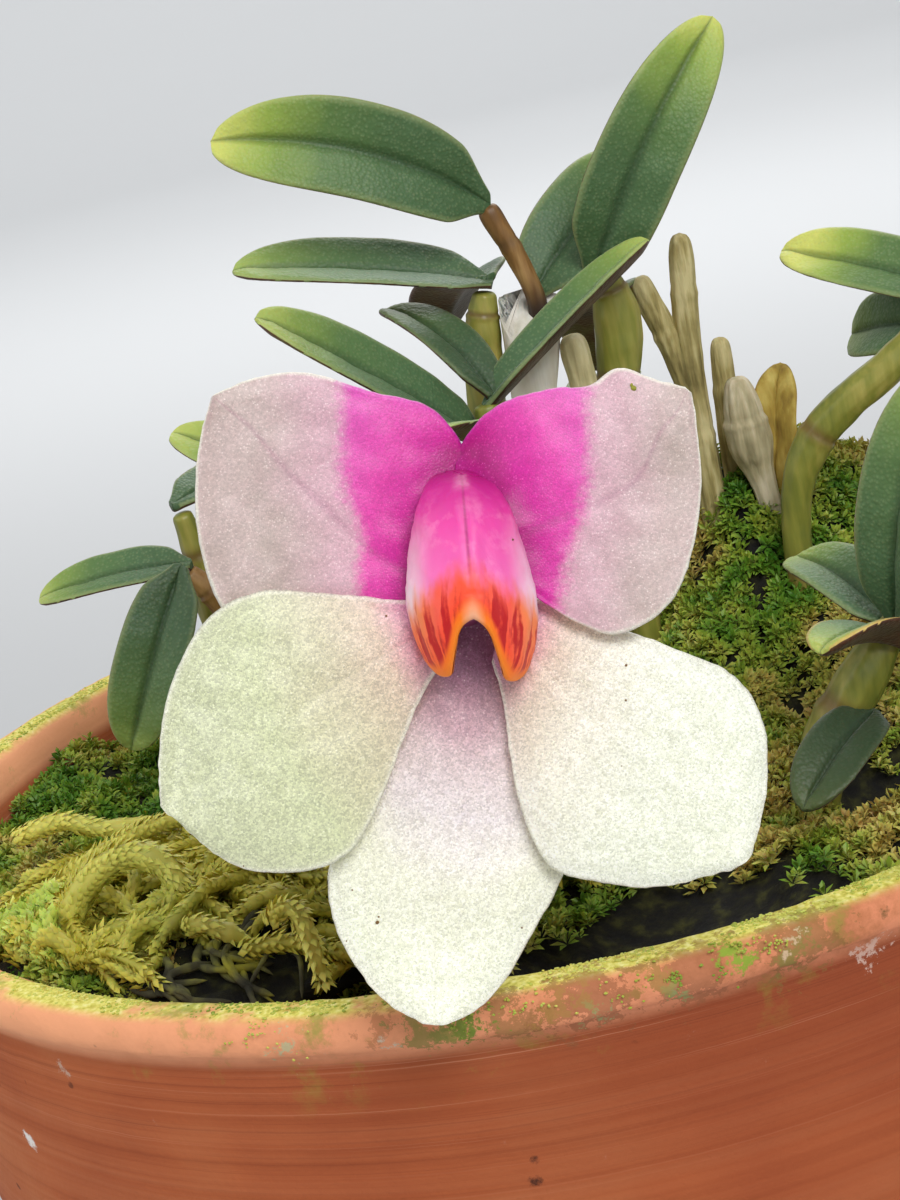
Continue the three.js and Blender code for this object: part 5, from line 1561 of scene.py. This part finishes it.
masks = [
    add("MapRange", {"Value": mouth, "From Min": 0.55, "From Max": 1.1}, interpolation_type="SMOOTHSTEP"),
    add("MapRange", {"Value": reach, "From Min": 0.3, "From Max": -1.2}, interpolation_type="SMOOTHSTEP"),
    add("MapRange", {"Value": side, "From Min": 0.06, "From Max": 0.14}, interpolation_type="SMOOTHSTEP"),
]
for mask in masks:
    streak = add("Math", {0: streak, 1: mask}, operation="MULTIPLY")
# Painted shade: the inner side of the hood is painted dark purple as the shade within it, orange only at its
# edge.
within = add("MapRange", {"Value": upper, "From Min": 0.0, "From Max": -0.4})
below = add("MapRange", {"Value": mouth, "From Min": 7.5, "From Max": 6.0})
within = add("Math", {0: within, 1: below}, operation="MULTIPLY")
shaded_throat = add(
    "ValToRGB", {"Fac": rise},
    stops=[(0.0, "#FF8A28"), (0.05, "#C0405A"), (0.2, "#7A2450"), (1.0, "#5C1440")]
)
tone = lay_coats(add, pink, [(warm, fire), (streak, "#BE141C"), (within, shaded_throat)])
skin = add("TexNoise", {"Vector": place, "Scale": 3200.0, "Detail": 3.0})
skin = add("Bump", {"Height": skin, "Strength": 0.2, "Distance": 0.0001})
finish(waxy, Base_Color=tone, Normal=skin)
lip = add_object("waxy_lip", bm, waxy)
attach(lip, "root")
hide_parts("lip")

# Column
# The short thick column inside the hood, with the domed anther cap on its end. It is dark purple and
# shows only as the shadowed throat behind the arch.
COLUMN_ROUTE = [(0, 0.3, -1.6), (0, 0.5, 0.2), (0.1, 0.2, 2.2)]
COLUMN_RADII = [1.6, 1.3, 1.0]


def column_skin(u, turn):
    wings = 1 + 0.12 * math.cos(2 * turn) + 0.05 * math.sin(5 * turn) * u
    cap = 1 + 0.16 * math.exp(-((u - 0.8) / 0.08) ** 2) - 0.12 * math.exp(-((u - 0.68) / 0.03) ** 2)
    radius = between(COLUMN_RADII, u) * wings * cap * math.sqrt(max(1 - (2 * u - 1) ** 12, 0))
    return bloom_frame @ ring_point(frame_at(COLUMN_ROUTE, u, Vector((0, 1, 0))), turn, radius)


bm = bmesh.new()
grow(bm, column_skin, 48, 60)
purple = mottled(
    "purple_column", 900.0, 3.0, [(0.35, "#70284E"), (0.65, "#A44E78")],
    Roughness=0.4, Subsurface_Weight=0.15, Subsurface_Scale=0.001,
)
column = add_object("anther_column", bm, purple)
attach(column, "root")
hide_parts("column")

# Mentum
# The blunt spur behind the flower, made by the joined feet of the lateral sepals. Magenta fading to a
# green tip, smooth and fleshy.
MENTUM_ROUTE = [(0, 3.6, -3.7), (0, 5.2, -5.6), (0, 6.6, -7.4)]
MENTUM_RADII = [1.9, 1.6, 0.8]


def spur_skin(u, turn):
    seam = 1 - 0.08 * math.exp(-(math.sin(turn / 2) / 0.12) ** 2)
    radius = between(MENTUM_RADII, u) * seam * math.sqrt(max(1 - (2 * u - 1) ** 8, 0))
    return bloom_frame @ ring_point(frame_at(MENTUM_ROUTE, u, Vector((1, 0, 0))), turn, radius), (u,)


def ripening(name, scale, stops, **surface):
    """Fleshy skin whose colour runs along the piece, with a fine speckle through it."""
    material, add, place = patterned(name, **surface)
    speckle = add("TexNoise", {"Vector": place, "Scale": scale, "Detail": 3.0})
    along = add("Attribute", out="Fac", attribute_name="along")
    share = add("Math", {0: speckle, 1: 0.3, 2: along}, operation="MULTIPLY_ADD")
    finish(material, Base_Color=add("ValToRGB", {"Fac": share}, stops=stops))
    return material


bm = bmesh.new()
grow(bm, spur_skin, 48, 48, ("along",))
flesh = ripening(
    "magenta_spur", 1600.0, [(0.2, "#B8307F"), (0.7, "#D86AA8"), (1.1, "#C9C08A")],
    Roughness=0.38, Subsurface_Weight=0.3, Subsurface_Scale=0.001,
)
spur = add_object("fleshy_mentum", bm, flesh)
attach(spur, "root")
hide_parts("mentum")

# Ovary and pedicel
# The ribbed green ovary behind the flower runs into the thin reddish stalk that rises from the tip of
# the flowering cane. Soft warts stand along its ribs.
OVARY_ROUTE = [
    (-4, -44.6, 92.9), (-4, -41.5, 92), (-4, -38, 91),
    (-3.7, -33, 90), (-3.1, -28, 89.9), (-2.8, -23.4, 90.6),
]
OVARY_RADII = [1.4, 1.7, 1.2, 0.6, 0.55, 0.6]
OVARY_RIBS = 5


def stalk_skin(u, turn):
    section = frame_at(OVARY_ROUTE, u, Vector((1, 0, 0)))
    rib = 0.14 * math.cos(OVARY_RIBS * turn + 2 * u) * smooth((0.5 - u) / 0.2)
    wart = 0.1 * warts(ring_point(section, turn, 1), 0.5) * smooth((0.55 - u) / 0.2)
    radius = (between(OVARY_RADII, u) * (1 + rib) + wart) * math.sqrt(max(1 - (2 * u - 1) ** 40, 0))
    return ring_point(section, turn, radius), (u,)


bm = bmesh.new()
grow(bm, stalk_skin, 60, 140, ("along",))
stem = ripening(
    "ribbed_ovary", 1300.0, [(0.1, "#B86A8A"), (0.35, "#9CA85A"), (0.7, "#A8A05C"), (1.1, "#A8745C")],
    Roughness=0.42, Subsurface_Weight=0.25, Subsurface_Scale=0.001,
)
ovary = add_object("ribbed_ovary", bm, stem)
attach(ovary, "root")
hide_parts("ovary_pedicel")

# Dust specks
# Brown specks of bark dust and one green crumb of moss that stick to the crystalline cells of the flower.
# Each lies on the segment that is seen at its place.
SPECKS = {
    "bark_dust": ("#7A5A34", [
        (8.46, -3.33, 0.07), (8.41, -5.18, 0.06), (-4.18, -0.74, 0.07), (-4.66, -16.98, 0.1),
        (2.43, 3.23, 0.07), (-4.6, -16.7, 0.06), (8.2, -8.6, 0.04), (-6.3, -18.0, 0.04),
        (3.0, -17.3, 0.05), (-11.6, -13.8, 0.04), (-6.0, -15.3, 0.05),
    ]),
    "moss_crumb": ("#9A9A3A", [(8.83, 11.21, 0.15), (8.7, 11.35, 0.1)]),
}
flower = [thing for thing in bpy.data.objects if thing.name.startswith("tissue_")] + [lip]
grids = []
for part in flower:
    faces = [list(face.vertices) for face in part.data.polygons]
    grids.append(BVHTree.FromPolygons([vert.co for vert in part.data.vertices], faces))
away = -(bloom_frame.to_3x3() @ Vector((0, 0, 1)))
for name, (code, places) in SPECKS.items():
    bm = bmesh.new()
    for x, y, size in places:
        start = bloom_frame @ Vector((x, y, 40)) * MM
        found = [hit for hit in (grid.ray_cast(start, away) for grid in grids) if hit[0] is not None]
        if not found:
            continue
        spot = min(found, key=lambda hit: hit[3])[0] / MM
        crumb = bmesh.ops.create_icosphere(bm, subdivisions=2, radius=size, matrix=Matrix.Translation(spot))
        for vert in crumb["verts"]:
            vert.co += size * 0.5 * noise.noise_vector(vert.co * 5)
    crumbs = add_object("speck_" + name, bm, new_material(name, Roughness=0.9, Base_Color=code))
    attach(crumbs, "root")

bpy.context.view_layer.update()
